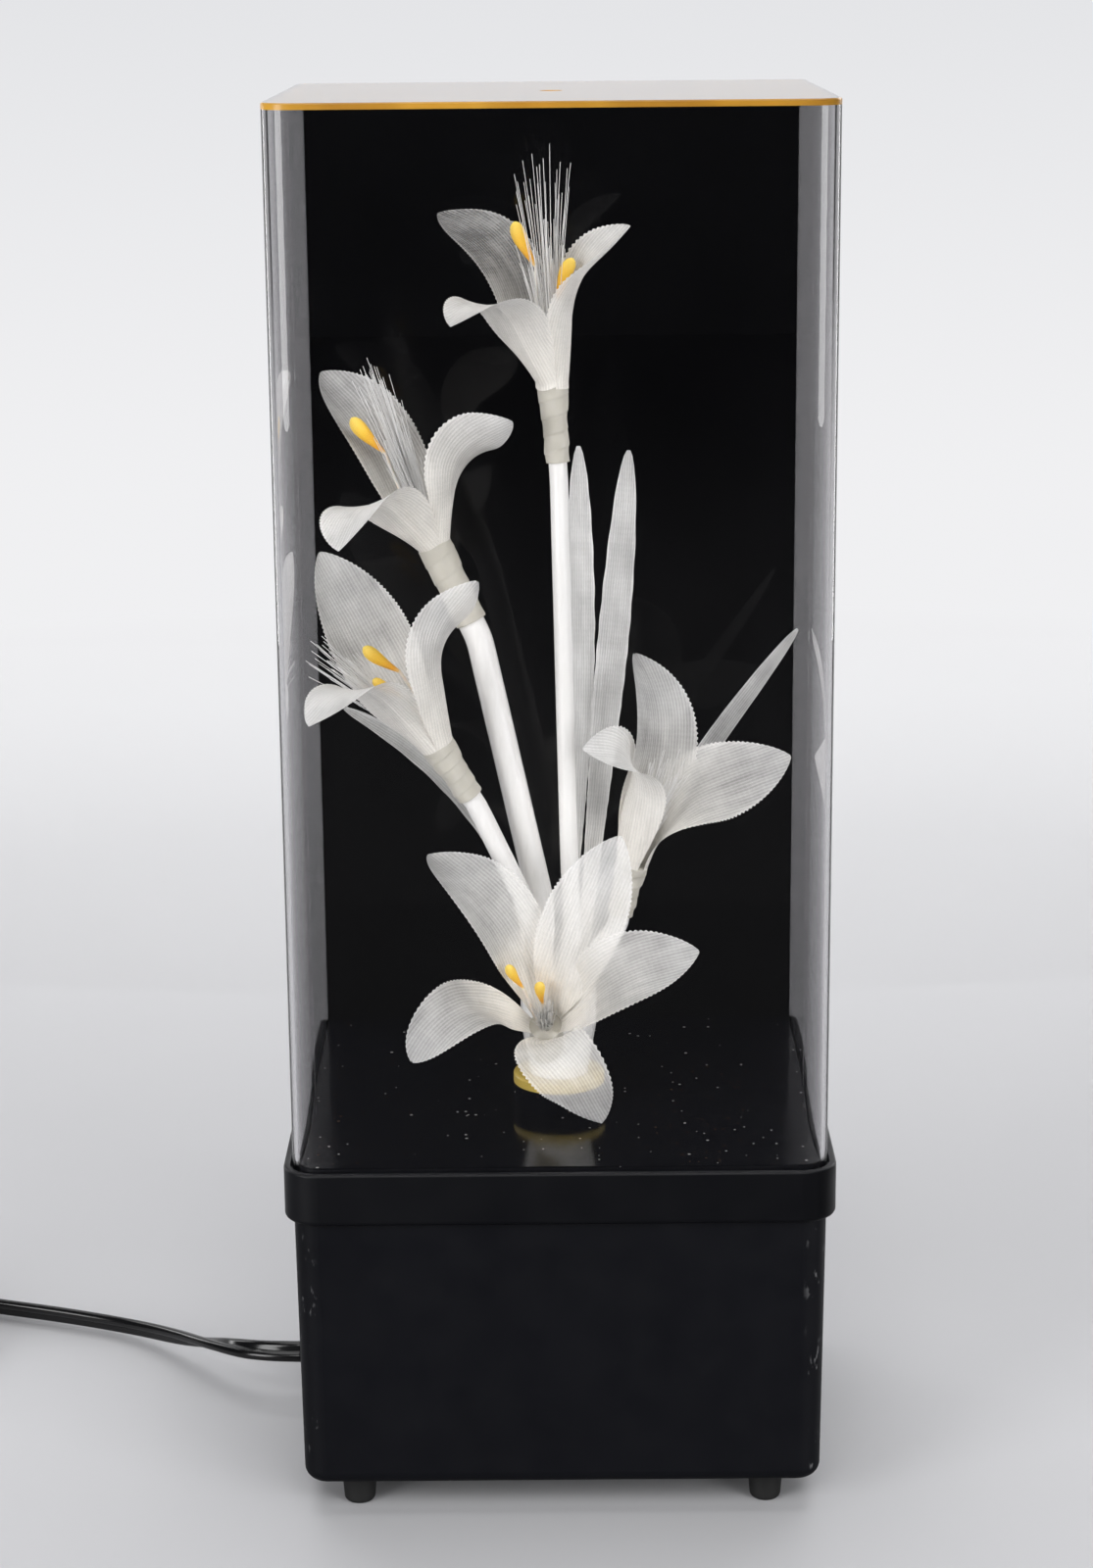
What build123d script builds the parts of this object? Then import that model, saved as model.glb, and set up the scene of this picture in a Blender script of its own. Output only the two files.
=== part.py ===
from build123d import *
import os
from math import atan2, cos, pi, radians, sin, sqrt, tan

os.makedirs("parts", exist_ok=True)

# Decorative flower light: a bouquet of fabric flowers on optic fibres, under a clear case
# that lifts off a black base. The base holds the lamp, the colour wheel and its motor.
# Millimetres. +X is right, +Y is the back, +Z is up, and the origin is on the table
# under the middle of the base.

# Fits
overrun = 1.0
slip_fit = 0.1
loose_fit = 0.25

# Clear case: one bent sheet for the front and the sides, a black back and a top plate
cover_width = 130.0
cover_depth = 114.2
cover_wall_height = 253.8
cover_corner_radius = 6.5
sheet_thickness = 1.5
back_thickness = 1.5
top_thickness = 1.5
top_bevel = 0.3
top_rear_radius = 1.2
vent_diameter = 5.5

# Base tub and its lid
foot_height = 8.6
tub_height = 78.2
tub_draft = 0.62
tub_wall = 2.2
tub_floor = 2.4
tub_corner_radius = 6.0
tub_bottom_radius = 3.5
flange_thickness = 2.7
groove_depth = 2.5
groove_gap_outside = 0.6
groove_gap_inside = 0.4
groove_rear_radius = 0.8
rim_width = 1.6
rim_edge_radius = 0.6
skirt_wall = 1.95
skirt_drop = 8.0
skirt_edge_radius = 1.2
collar_rear_radius = 3.0
deck_rise = 0.7
deck_thickness = 2.2

# Feet
foot_inset_x = 14.0
foot_inset_y = 11.6
foot_top_radius = 4.5
foot_bottom_radius = 3.8
foot_edge_radius = 1.2
foot_peg_radius = 2.4
foot_peg_length = 4.0

# Screws that hold the lid on the tub, in four long posts
post_inset = 10.0
post_pitch_y = 54.0
post_radius = 5.0
lid_post_radius = 4.0
post_split_height = 53.4
screw_recess_height = 41.4
screw_head_radius = 2.9
screw_head_height = 2.2
screw_radius = 1.5
screw_length = 20.0
screw_end_room = 2.0

# Fibre bundle, its sleeve in the deck boss, and the plate that clamps it
boss_radius = 12.0
boss_height = 5.5
sleeve_radius = 9.0
sleeve_bore_radius = 7.5
sleeve_flange_radius = 11.6
sleeve_flange_thickness = 2.5
sleeve_tail = 13.7
trunk_neck_radius = 7.3
trunk_radius = 9.6
trunk_flare_height = 13.0
trunk_height = 21.5
clamp_pitch_x = 41.0
clamp_pitch_y = 43.6
clamp_margin = 6.0
clamp_thickness = 1.2
clamp_boss_radius = 3.5
clamp_boss_height = 5.0
small_screw_radius = 1.4
small_screw_length = 5.2
small_head_radius = 2.6
small_head_height = 1.8
clip_radius = 11.0
clip_thickness = 1.5
clip_mouth_angle = 40.0

# Shares of the tub's depth: where the bundle and the wheel stand, and how far the works reach
bundle_setback_share = 0.0744
wheel_offset_share = 0.2321
wheel_radius_share = 0.311
motor_offset_share = 0.0832
motor_radius_share = 0.2014
riser_setback_share = 0.193
bracket_foot_share = 0.14

# Colour wheel and its geared motor, hung below the end of the bundle
wheel_drop = 7.0
motor_drop = 10.0
wheel_disc_thickness = 0.8
filter_thickness = 0.3
filter_inner_radius = 11.0
filter_gap = 0.6
hub_radius = 5.0
hub_flange_radius = 10.0
hub_flange_thickness = 1.5
hub_rise = 3.0
washer_thickness = 1.0
shaft_radius = 2.0
shaft_rise = 1.5
motor_can_height = 16.0
motor_plate_thickness = 1.2
motor_bush_radius = 4.5
motor_bush_height = 3.0
motor_bush_depth = 9.0
motor_ear_reach = 5.5
motor_ear_radius = 5.0
motor_post_radius = 4.0
motor_screw_radius = 1.4
motor_screw_length = 8.0
motor_head_radius = 2.7
motor_head_height = 2.0

# Lamp, its holder and the bracket on the floor
holder_radius = 11.0
holder_height = 26.0
holder_base = 4.0
holder_motor_gap = 0.8
holder_collar_radius = 12.5
holder_collar_height = 4.0
cap_radius = 6.0
cap_height = 20.0
bulb_neck_radius = 5.6
bulb_radius = 9.5
bulb_height = 23.0
bulb_glass_thickness = 0.8
bracket_width = 14.0
bracket_thickness = 1.2
bracket_tail = 11.0
floor_boss_height = 2.0
floor_boss_radius = 4.0

# Air slots under the lamp
slot_count = 5
slot_pitch = 7.0
slot_width = 3.0
slot_length = 32.0

# Rocker switch in the rear wall, midway between the motor's post and the lid's
switch_height = 40.0
bezel_width = 15.0
bezel_height = 21.5
bezel_thickness = 1.8
switch_body_width = 13.0
switch_body_height = 19.0
switch_body_depth = 12.0
switch_window_width = 10.8
switch_window_height = 17.6
switch_pocket_depth = 9.0
rocker_width = 10.0
rocker_reach = 8.3
rocker_end_rise = 3.2
rocker_middle_rise = 1.4
rocker_end_drop = 2.0
rocker_back_drop = 3.0
rocker_back_half = 4.0
rocker_tilt = 12.0
rocker_pivot_depth = 2.1
rocker_pin_radius = 1.0
rocker_pin_length = 0.8
terminal_width = 4.8
terminal_thickness = 0.8
terminal_length = 7.0
terminal_pitch = 10.0

# Mains cord: a slim flat lead, with its bushing, coil, tie and plug
cord_diameter = 5.6
cord_exit_y = 9.0
cord_exit_height = 15.0
cord_exit_run = 13.8
bushing_flange_radius = 5.4
bushing_flange_thickness = 2.0
bushing_neck_radius = 3.8
bushing_inner_length = 3.0
coil_middle_radius = 33.5
coil_pitch = 6.2
coil_layer_turns = 3.4
coil_plug_heading = 270.0
tie_heading = 300.0
tie_thickness = 0.5
tie_width = 6.0
tie_slack = 0.3
plug_lead = 26.0
plug_axis_height = 7.0
plug_nose_radius = 4.2
plug_taper_length = 15.0
plug_body_length = 20.0
plug_width = 24.0
plug_edge_radius = 3.0
blade_pitch = 12.7
blade_width = 6.4
blade_thickness = 1.5
blade_length = 16.0
cord_route = [
    (-92.0, 19.5, 12.4),
    (-104.0, 35.5, 7.0),
    (-119.0, 50.5, 3.6),
    (-140.0, 59.3, 3.5),
    (-164.0, 67.3, 3.4),
    (-187.0, 75.8, 3.4),
]

# Inner leads
lead_diameter = 2.2
lead_spacing = 2.8
lead_floor_gap = 1.2
lead_terminal_run = 8.0
lead_post_gap = 5.4

# Flowers
petal_thickness = 0.6
neck_radius = 4.0
petal_lift = 0.4
calyx_length = 19.0
calyx_radius = 4.7
stamen_radius = 0.45
anther_radius = 2.0
anther_length = 11.0
stamen_ring_radius = 2.9
tuft_radius = 2.0
tuft_base_height = 1.0
strand_width = 0.3
leaf_width = 8.0
leaf_thickness = 0.6
leaf_lift = 0.3

# Petals reach as far as the case has room: shares of its inner width and depth
petal_across_share = 0.3937
petal_back_share = 0.44965
petal_width_share = 0.4

# Shares of the petal outline: where it is widest, and how it swells and closes
petal_widest_share = 0.55
petal_bend_half_share = 0.28
petal_section_shares = (0.0, 0.1, 0.22, 0.34, 0.46, 0.58, 0.7, 0.82, 0.92, 0.975, 0.995)
petal_fill_share = 0.92
petal_swell_power = 1.15
petal_close_power = 0.8

# Each flower: neck place as shares of the case (across, back, up from the deck), the way its
# axis leans (degrees from upright, and towards which heading), and its petals. A petal is:
# azimuth, sway, lean at the base, place of the bend, lean at the tip, twist, length, width, cup.
# Angles are in degrees, and places, lengths and widths are shares.
flower_shares = {
    "top": {
        "neck": (-0.002, 0.053, 0.7222),
        "axis": (4.5, 140),
        "petals": (
            (120, 20, 19, 0.62, 69, -21, 1.15, 1.05, 14),
            (232, 0, 32, 0.61, 113, -4, 0.89, 1.04, 23),
            (337, 12.6, 7.5, 0.58, 52.5, 31.5, 0.87, 1.035, 55),
        ),
        "stamens": ((180, 180, 12, 0.76), (290, 12, 11.4, 0.62)),
        "tuft": (48, 20, 2, 1.16, 3.0),
    },
    "left": {
        "neck": (-0.232, 0.035, 0.5611),
        "axis": (25, 173),
        "petals": (
            (95, 23, 6, 0.61, 43, -3, 1.12, 0.97, 44),
            (251, -14, 32, 0.54, 116, -10, 0.89, 1.06, 23),
            (334, -9, 30, 0.53, 88, -59, 0.88, 0.84, 26),
        ),
        "stamens": ((185, 185, 6, 0.72),),
        "tuft": (80, 0, 5, 1.0, 2.2),
    },
    "low_left": {
        "neck": (-0.226, -0.123, 0.374),
        "axis": (31, 191),
        "petals": (
            (107, -14, 32, 0.47, 20, 23, 1.15, 1.1, 33),
            (243, -8, 11, 0.58, 93, -21, 0.97, 0.92, 18),
            (325, 15, 24, 0.58, 68, -52, 1.02, 0.87, 34),
        ),
        "stamens": ((20, 185, 6, 0.66), (310, 195, 13, 0.48)),
        "tuft": (60, 160, 21, 0.84, 2.6),
    },
    "right": {
        "neck": (0.146, -0.018, 0.237),
        "axis": (12.8, 0),
        "petals": (
            (86, 40, 3, 0.7, 62, 0, 1.15, 1.1, 45),
            (236, -18, 3, 0.61, 89, -47, 0.94, 0.88, 42),
            (374, -4, 7, 0.37, 60, 53, 1.0, 1.05, 5),
        ),
        "stamens": (),
        "tuft": (50, 10, 8, 0.66, 2.4),
    },
    "front": {
        "neck": (-0.026, -0.21, 0.0992),
        "axis": (45.8, 266),
        "petals": (
            (108, 26, 32, 0.58, 105, 19, 1.13, 1.0, 43),
            (53, 11, 12, 0.34, 75, 14, 1.06, 1.02, 6),
            (-3, 18, 27, 0.56, 92, 8, 0.98, 1.02, 35),
            (266, 44, 30, 0.55, 147, 39, 0.91, 0.92, 9),
            (182, 39, 34, 0.71, 142, -22, 0.96, 0.82, 34),
        ),
        "stamens": ((140, 140, 20, 0.5), (95, 95, 6, 0.42)),
        "tuft": (62, 90, 3, 0.3, 1.6),
    },
}

# How long each flower's taped cone is
calyx_length_shares = {"top": 1.0, "left": 1.05, "low_left": 0.75, "right": 0.65, "front": 1.0}

# Each stem: where it stands on the trunk (shares of the trunk's radius), the tube's radius,
# and the points that it passes on the way to its calyx, as shares of the case like the necks
stem_radii = {"top": 2.3, "left": 3.4, "low_left": 2.6, "right": 2.6}
stem_foot_shares = {
    "top": (0.4, 0.46),
    "left": (-0.5, 0.26),
    "low_left": (-0.36, -0.59),
    "right": (0.46, -0.52),
}
stem_route_shares = {
    "top": ((0.024, -0.03, 0.24),),
    "left": ((-0.03, -0.05, 0.2),),
    "low_left": ((-0.05, -0.12, 0.2),),
    "right": (),
}

# How far a stem stands straight up, as a share of the way to the first point that it passes
stem_rise_share = 0.3

# Each leaf: foot on the trunk (shares of its radius), two points that pull its curve, and its
# tip (shares of the case), then the way its face looks (heading and tilt) and its size shares
leaf_shares = {
    "back_left": (
        (0.15, 0.86), (0.05, 0.02, 0.35), (0.05, 0.2, 0.48), (0.049, 0.27, 0.649), 280, 10, 1.0),
    "back_right": (
        (0.62, 0.74), (0.085, 0.02, 0.34), (0.13, 0.18, 0.5), (0.15, 0.27, 0.644), 265, 10, 1.0),
    "right": (
        (0.92, 0.3), (0.15, 0.13, 0.25), (0.335, 0.22, 0.353), (0.485, 0.126, 0.47), 250, 30, 0.7),
    "left": (
        (-0.93, -0.1), (-0.025, -0.09, 0.25), (-0.21, -0.04, 0.356), (-0.42, 0.0, 0.404), 250, 35, 0.65),
}
leaf_section_shares = (0.0, 0.15, 0.35, 0.55, 0.75, 0.9, 0.97, 0.995)
leaf_base_width_share = 0.38
leaf_widest_share = 0.6
leaf_cup = 20.0

# Heights and sizes that follow from the sizes above
tub_top = foot_height + tub_height
groove_floor = tub_top + flange_thickness
rim_top = groove_floor + groove_depth
deck_top = rim_top + deck_rise
deck_underside = deck_top - deck_thickness
skirt_bottom = tub_top - skirt_drop
cover_top = groove_floor + cover_wall_height
collar_width = cover_width + 2 * (groove_gap_outside + rim_width)
collar_depth = cover_depth + 2 * (groove_gap_outside + rim_width)
collar_front_radius = cover_corner_radius + groove_gap_outside + rim_width
tub_width = collar_width - 2 * (skirt_wall + loose_fit)
tub_depth = collar_depth - 2 * (skirt_wall + loose_fit)
plateau_width = cover_width - 2 * (sheet_thickness + groove_gap_inside)
plateau_depth = cover_depth - 2 * (sheet_thickness + groove_gap_inside)
plateau_front_radius = cover_corner_radius - sheet_thickness - groove_gap_inside
floor_top = foot_height + tub_floor
boss_top = deck_top + boss_height
sleeve_top = boss_top + sleeve_flange_thickness
sleeve_bottom = deck_top - sleeve_tail
trunk_top = sleeve_top + trunk_height
clamp_top = deck_underside - clamp_boss_height
clamp_bottom = clamp_top - clamp_thickness
foot_pitch_x = tub_width - 2 * foot_inset_x
foot_pitch_y = tub_depth - 2 * foot_inset_y
bundle_setback = -bundle_setback_share * tub_depth
wheel_radius = wheel_radius_share * tub_depth
wheel_y = bundle_setback + wheel_offset_share * tub_depth
wheel_height = sleeve_bottom - wheel_drop
motor_radius = motor_radius_share * tub_depth
motor_y = wheel_y + motor_offset_share * tub_depth
motor_ear_pitch = 2 * (motor_radius + motor_ear_reach)
motor_top_height = wheel_height - motor_drop
motor_bottom_height = motor_top_height - motor_plate_thickness - motor_can_height
holder_seat_height = motor_bottom_height - holder_motor_gap - holder_height
bracket_riser_setback = riser_setback_share * tub_depth
bracket_foot_length = bracket_foot_share * tub_depth
post_x = tub_width / 2 - post_inset
switch_x = (motor_ear_pitch / 2 + post_x) / 2
post_split = foot_height + post_split_height
screw_seat = foot_height + screw_recess_height
case_height = cover_top - deck_top
inner_width = cover_width - 2 * sheet_thickness
inner_depth = cover_depth - sheet_thickness - back_thickness
petal_length = min(petal_across_share * inner_width, petal_back_share * inner_depth)
petal_width = petal_width_share * petal_length

parts = {}


# Helpers

def four(pitch_x, pitch_y, centre_y=0):
    """The four corners of a rectangle of screws, feet or posts."""
    return [(sx * pitch_x / 2, centre_y + sy * pitch_y / 2) for sx in (-1, 1) for sy in (-1, 1)]


def rod(x, y, low, high, radius):
    return Pos(x, y, low) * Cylinder(radius, high - low, align=(Align.CENTER, Align.CENTER, Align.MIN))


def plan(width, depth, front_radius, rear_radius):
    """A rectangle seen from above, with rounded front and rear corners."""
    outline = Rectangle(width, depth)
    outline = fillet(outline.vertices().sort_by(Axis.Y)[:2], front_radius)
    return fillet(outline.vertices().sort_by(Axis.Y)[-2:], rear_radius)


def slab(outline, low, high):
    return extrude(Pos(0, 0, low) * outline, high - low)


def screw_up(x, y, seat, radius, length, head_radius, head_height):
    """A pan-head screw driven upwards, with its head under the seat."""
    return rod(x, y, seat - head_height, seat, head_radius) + rod(x, y, seat, seat + length, radius)


def screw_down(x, y, seat, radius, length, head_radius, head_height):
    return rod(x, y, seat, seat + head_height, head_radius) + rod(x, y, seat - length, seat, radius)


def tub_half(size, z):
    """Half of the tub's outer width or depth at a height: the walls lean out by the draft."""
    return size / 2 - (tub_top - z) * tan(radians(tub_draft))


def group(solids):
    return Compound(children=list(solids))


def smooth(t):
    t = min(max(t, 0), 1)
    return t * t * (3 - 2 * t)


def case_point(shares):
    """A point in the case: shares of its inner width, its inner depth and its height."""
    across, back, up = shares
    return Vector(across * inner_width, back * inner_depth, deck_top + up * case_height)


def trunk_point(shares):
    across, back = shares
    return Vector(across * trunk_radius, bundle_setback + back * trunk_radius, trunk_top)


def corner_radii(points):
    """The largest arcs that the runs beside each corner of a cord or lead leave room for."""
    radii = []
    for before, corner, after in zip(points, points[1:], points[2:]):
        turn = radians((corner - before).get_angle(after - corner))
        run = min((corner - before).length, (after - corner).length)
        radii.append(0.45 * run / tan(turn / 2))
    return radii


def tube(points, radius):
    """A round tube along straight runs joined by the largest arcs, and its path."""
    path = FilletPolyline(*points, radius=corner_radii(points)) if len(points) > 2 else Line(*points)
    section = Plane(origin=path @ 0, z_dir=path % 0) * Circle(radius)
    return sweep(section, path=path), path


# Base: tub, lid, feet and the screws between them

def base_tub():
    bottom = plan(2 * tub_half(tub_width, foot_height), 2 * tub_half(tub_depth, foot_height),
                  tub_corner_radius, tub_corner_radius)
    top = plan(tub_width, tub_depth, tub_corner_radius, tub_corner_radius)
    inner_low = plan(2 * (tub_half(tub_width, floor_top) - tub_wall),
                     2 * (tub_half(tub_depth, floor_top) - tub_wall),
                     tub_corner_radius - tub_wall, tub_corner_radius - tub_wall)
    inner_top = plan(tub_width - 2 * tub_wall, tub_depth - 2 * tub_wall,
                     tub_corner_radius - tub_wall, tub_corner_radius - tub_wall)
    shell = loft([Pos(0, 0, foot_height) * bottom, Pos(0, 0, tub_top) * top], ruled=True)
    shell = fillet(shell.edges().group_by(Axis.Z)[0], tub_bottom_radius)
    shell -= loft([Pos(0, 0, floor_top) * inner_low, Pos(0, 0, tub_top) * inner_top], ruled=True)
    for x, y in four(2 * post_x, post_pitch_y):
        shell += rod(x, y, foot_height, post_split, post_radius)
    for sx in (-1, 1):
        shell += rod(sx * motor_ear_pitch / 2, motor_y, foot_height,
                     motor_top_height - motor_plate_thickness, motor_post_radius)
    boss_y = bundle_setback - bracket_riser_setback - bracket_foot_length / 2
    shell += rod(0, boss_y, foot_height, floor_top + floor_boss_height, floor_boss_radius)
    for x, y in four(2 * post_x, post_pitch_y):
        shell -= rod(x, y, foot_height - overrun, screw_seat, screw_head_radius + loose_fit)
        shell -= rod(x, y, foot_height, post_split + overrun, screw_radius + loose_fit)
    for sx in (-1, 1):
        seat = motor_top_height - motor_plate_thickness
        shell -= rod(sx * motor_ear_pitch / 2, motor_y, seat - motor_screw_length, seat + overrun,
                     motor_screw_radius + slip_fit)
    shell -= rod(0, boss_y, floor_top + floor_boss_height + bracket_thickness - small_screw_length,
                 floor_top + floor_boss_height + overrun, small_screw_radius + slip_fit)
    for x, y in four(foot_pitch_x, foot_pitch_y):
        shell -= rod(x, y, foot_height - overrun, floor_top + overrun, foot_peg_radius + slip_fit)
    slot = SlotOverall(slot_length, slot_width, rotation=90)
    for i in range(slot_count):
        x = (i - (slot_count - 1) / 2) * slot_pitch
        shell -= Pos(x, bundle_setback, foot_height - overrun) * extrude(slot, tub_floor + 2 * overrun)
    shell -= Pos(switch_x, tub_depth / 2 - tub_wall, switch_height) * Box(
        switch_body_width + 2 * slip_fit, 4 * tub_wall, switch_body_height + 2 * slip_fit)
    neck = Plane(origin=(-tub_width / 2, cord_exit_y, cord_exit_height), z_dir=(1, 0, 0))
    shell -= extrude(neck * Circle(bushing_neck_radius + slip_fit), 2 * tub_wall, both=True)
    return shell


def deck_lid():
    collar = plan(collar_width, collar_depth, collar_front_radius, collar_rear_radius)
    lid = slab(collar, skirt_bottom, rim_top)
    lid = fillet(lid.edges().group_by(Axis.Z)[-1], rim_edge_radius)
    lid = fillet(lid.edges().group_by(Axis.Z)[0], skirt_edge_radius)
    lid -= slab(plan(tub_width + 2 * loose_fit, tub_depth + 2 * loose_fit,
                     tub_corner_radius + loose_fit, tub_corner_radius + loose_fit),
                skirt_bottom - overrun, tub_top)
    lid -= slab(plan(cover_width + 2 * groove_gap_outside, cover_depth + 2 * groove_gap_outside,
                     cover_corner_radius + groove_gap_outside, groove_rear_radius),
                groove_floor, rim_top + overrun)
    plateau = plan(plateau_width, plateau_depth, plateau_front_radius, groove_rear_radius)
    lid += slab(plateau, groove_floor, deck_top)
    lid -= slab(plan(plateau_width - 2 * deck_thickness, plateau_depth - 2 * deck_thickness,
                     plateau_front_radius, plateau_front_radius), tub_top - overrun, deck_underside)
    lid += rod(0, bundle_setback, deck_top, boss_top, boss_radius)
    for x, y in four(clamp_pitch_x, clamp_pitch_y, bundle_setback):
        lid += rod(x, y, clamp_top, deck_top, clamp_boss_radius)
        lid -= rod(x, y, clamp_top - overrun, clamp_top + small_screw_length, small_screw_radius + slip_fit)
    for x, y in four(2 * post_x, post_pitch_y):
        lid += rod(x, y, post_split, deck_top, lid_post_radius)
        lid -= rod(x, y, post_split - overrun, screw_seat + screw_length + screw_end_room,
                   screw_radius + slip_fit)
    lid -= rod(0, bundle_setback, deck_underside - overrun, boss_top + overrun, sleeve_radius + slip_fit)
    return lid


def foot(x, y):
    pad = Pos(x, y, 0) * Cone(foot_bottom_radius, foot_top_radius, foot_height,
                              align=(Align.CENTER, Align.CENTER, Align.MIN))
    pad = fillet(pad.edges().group_by(Axis.Z)[0], foot_edge_radius)
    return pad + rod(x, y, foot_height, foot_height + foot_peg_length, foot_peg_radius)


def base_nodes():
    parts["base_tub"] = base_tub()
    parts["deck_lid"] = deck_lid()
    parts["feet"] = group(foot(x, y) for x, y in four(foot_pitch_x, foot_pitch_y))
    parts["lid_screws"] = group(
        screw_up(x, y, screw_seat, screw_radius, screw_length, screw_head_radius, screw_head_height)
        for x, y in four(2 * post_x, post_pitch_y))


# Fibre bundle: sleeve, clamp plate, clip and trunk

def bundle_nodes():
    bore = rod(0, bundle_setback, sleeve_bottom - overrun, sleeve_top + overrun, sleeve_bore_radius)
    sleeve = rod(0, bundle_setback, sleeve_bottom, boss_top, sleeve_radius)
    sleeve += rod(0, bundle_setback, boss_top, sleeve_top, sleeve_flange_radius)
    flange_edges = sleeve.edges().group_by(Axis.Z)[-1]
    parts["bundle_sleeve"] = fillet(flange_edges, sleeve_flange_thickness / 4) - bore

    outline = Rectangle(clamp_pitch_x + 2 * clamp_margin, clamp_pitch_y + 2 * clamp_margin)
    outline = Pos(0, bundle_setback) * fillet(outline.vertices(), clamp_margin)
    plate = slab(outline, clamp_bottom, clamp_top)
    plate -= rod(0, bundle_setback, clamp_bottom - overrun, clamp_top + overrun, sleeve_radius + slip_fit)
    for x, y in four(clamp_pitch_x, clamp_pitch_y, bundle_setback):
        plate -= rod(x, y, clamp_bottom - overrun, clamp_top + overrun, small_screw_radius + slip_fit)
    parts["clamp_plate"] = plate
    parts["small_screws"] = group(
        [screw_up(x, y, clamp_bottom, small_screw_radius, small_screw_length, small_head_radius,
                  small_head_height)
         for x, y in four(clamp_pitch_x, clamp_pitch_y, bundle_setback)] + [bracket_screw()])

    clip = Circle(clip_radius) - Circle(sleeve_radius + slip_fit)
    half = clip_radius * tan(radians(clip_mouth_angle / 2))
    clip -= make_face(Polyline((0, 0), (clip_radius, half), (clip_radius, -half), close=True))
    parts["sleeve_clip"] = Pos(0, bundle_setback) * slab(clip, clamp_bottom - clip_thickness, clamp_bottom)

    profile = Polyline(
        (0, sleeve_bottom), (trunk_neck_radius, sleeve_bottom), (trunk_neck_radius, sleeve_top),
        (trunk_radius, sleeve_top + trunk_flare_height), (trunk_radius, trunk_top), (0, trunk_top),
        close=True)
    trunk = revolve(make_face(Plane.XZ * profile), Axis.Z)
    parts["fibre_trunk"] = Pos(0, bundle_setback, 0) * trunk


# Motor and colour wheel

def motor_body():
    seat = motor_top_height - motor_plate_thickness
    body = rod(0, motor_y, seat - motor_can_height, seat, motor_radius)
    body = fillet(body.edges().group_by(Axis.Z)[0], motor_plate_thickness)
    ears = SlotCenterToCenter(motor_ear_pitch, 2 * motor_ear_radius) + Circle(motor_radius)
    body += Pos(0, motor_y, 0) * slab(ears, seat, motor_top_height)
    body += rod(0, wheel_y, motor_top_height, motor_top_height + motor_bush_height, motor_bush_radius)
    bush_top = motor_top_height + motor_bush_height
    body -= rod(0, wheel_y, bush_top - motor_bush_depth, bush_top + overrun, shaft_radius + slip_fit)
    for sx in (-1, 1):
        body -= rod(sx * motor_ear_pitch / 2, motor_y, seat - overrun, motor_top_height + overrun,
                    motor_screw_radius + slip_fit)
    return body


def wheel_filter(quarter):
    ring = Circle(wheel_radius - filter_gap) - Circle(filter_inner_radius)
    ring &= Pos(filter_gap / 2, filter_gap / 2) * Rectangle(
        wheel_radius, wheel_radius, align=(Align.MIN, Align.MIN))
    top = wheel_height + wheel_disc_thickness
    return Pos(0, wheel_y, 0) * Rot(0, 0, 90 * quarter) * slab(ring, top, top + filter_thickness)


def motor_nodes():
    parts["motor_body"] = motor_body()
    parts["motor_screws"] = group(
        screw_down(sx * motor_ear_pitch / 2, motor_y, motor_top_height, motor_screw_radius,
                   motor_screw_length, motor_head_radius, motor_head_height)
        for sx in (-1, 1))
    disc_top = wheel_height + wheel_disc_thickness
    hub_top = disc_top + washer_thickness + hub_rise
    shaft_low = motor_top_height + motor_bush_height - motor_bush_depth + slip_fit
    parts["motor_shaft"] = rod(0, wheel_y, shaft_low, hub_top + shaft_rise, shaft_radius)
    hub = rod(0, wheel_y, wheel_height - hub_flange_thickness, wheel_height, hub_flange_radius)
    hub += rod(0, wheel_y, wheel_height, hub_top, hub_radius)
    hub -= rod(0, wheel_y, wheel_height - 2 * hub_flange_thickness, hub_top + overrun, shaft_radius)
    parts["wheel_hub"] = hub
    disc = Circle(wheel_radius) - Circle(hub_radius)
    parts["wheel_disc"] = Pos(0, wheel_y, 0) * slab(disc, wheel_height, disc_top)
    washer = Circle(hub_flange_radius) - Circle(hub_radius)
    parts["wheel_washer"] = Pos(0, wheel_y, 0) * slab(washer, disc_top, disc_top + washer_thickness)
    for quarter, colour in enumerate(("red", "amber", "green", "blue")):
        parts["filter_" + colour] = wheel_filter(quarter)


# Lamp

def lamp_nodes():
    y = bundle_setback
    low = holder_seat_height
    top = low + holder_height
    holder = rod(0, y, low, top, holder_radius)
    holder += rod(0, y, top - holder_collar_height, top, holder_collar_radius)
    holder -= rod(0, y, low + holder_base, top + overrun, cap_radius + slip_fit)
    parts["lamp_holder"] = holder

    cap_low = low + holder_base
    cap_top = cap_low + cap_height
    cap = rod(0, y, cap_low, cap_top, cap_radius)
    parts["bulb_cap"] = fillet(cap.edges().group_by(Axis.Z)[0], cap_radius / 3)

    parts["bulb_glass"] = Pos(0, y, cap_top) * (bulb_form(0) - bulb_form(bulb_glass_thickness))

    foot_top = floor_top + floor_boss_height
    riser = y - bracket_riser_setback
    t = bracket_thickness
    profile = Polyline(
        (riser - bracket_foot_length, foot_top), (riser, foot_top), (riser, low - t),
        (y + bracket_tail, low - t), (y + bracket_tail, low), (riser - t, low), (riser - t, foot_top + t),
        (riser - bracket_foot_length, foot_top + t), close=True)
    strip = extrude(make_face(Plane.YZ * profile), bracket_width / 2, both=True)
    screw_y = riser - bracket_foot_length / 2
    strip -= rod(0, screw_y, foot_top - overrun, foot_top + t + overrun, small_screw_radius + slip_fit)
    parts["holder_bracket"] = strip


def bracket_screw():
    seat = floor_top + floor_boss_height + bracket_thickness
    y = bundle_setback - bracket_riser_setback - bracket_foot_length / 2
    return screw_down(0, y, seat, small_screw_radius, small_screw_length, small_head_radius,
                      small_head_height)


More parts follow.
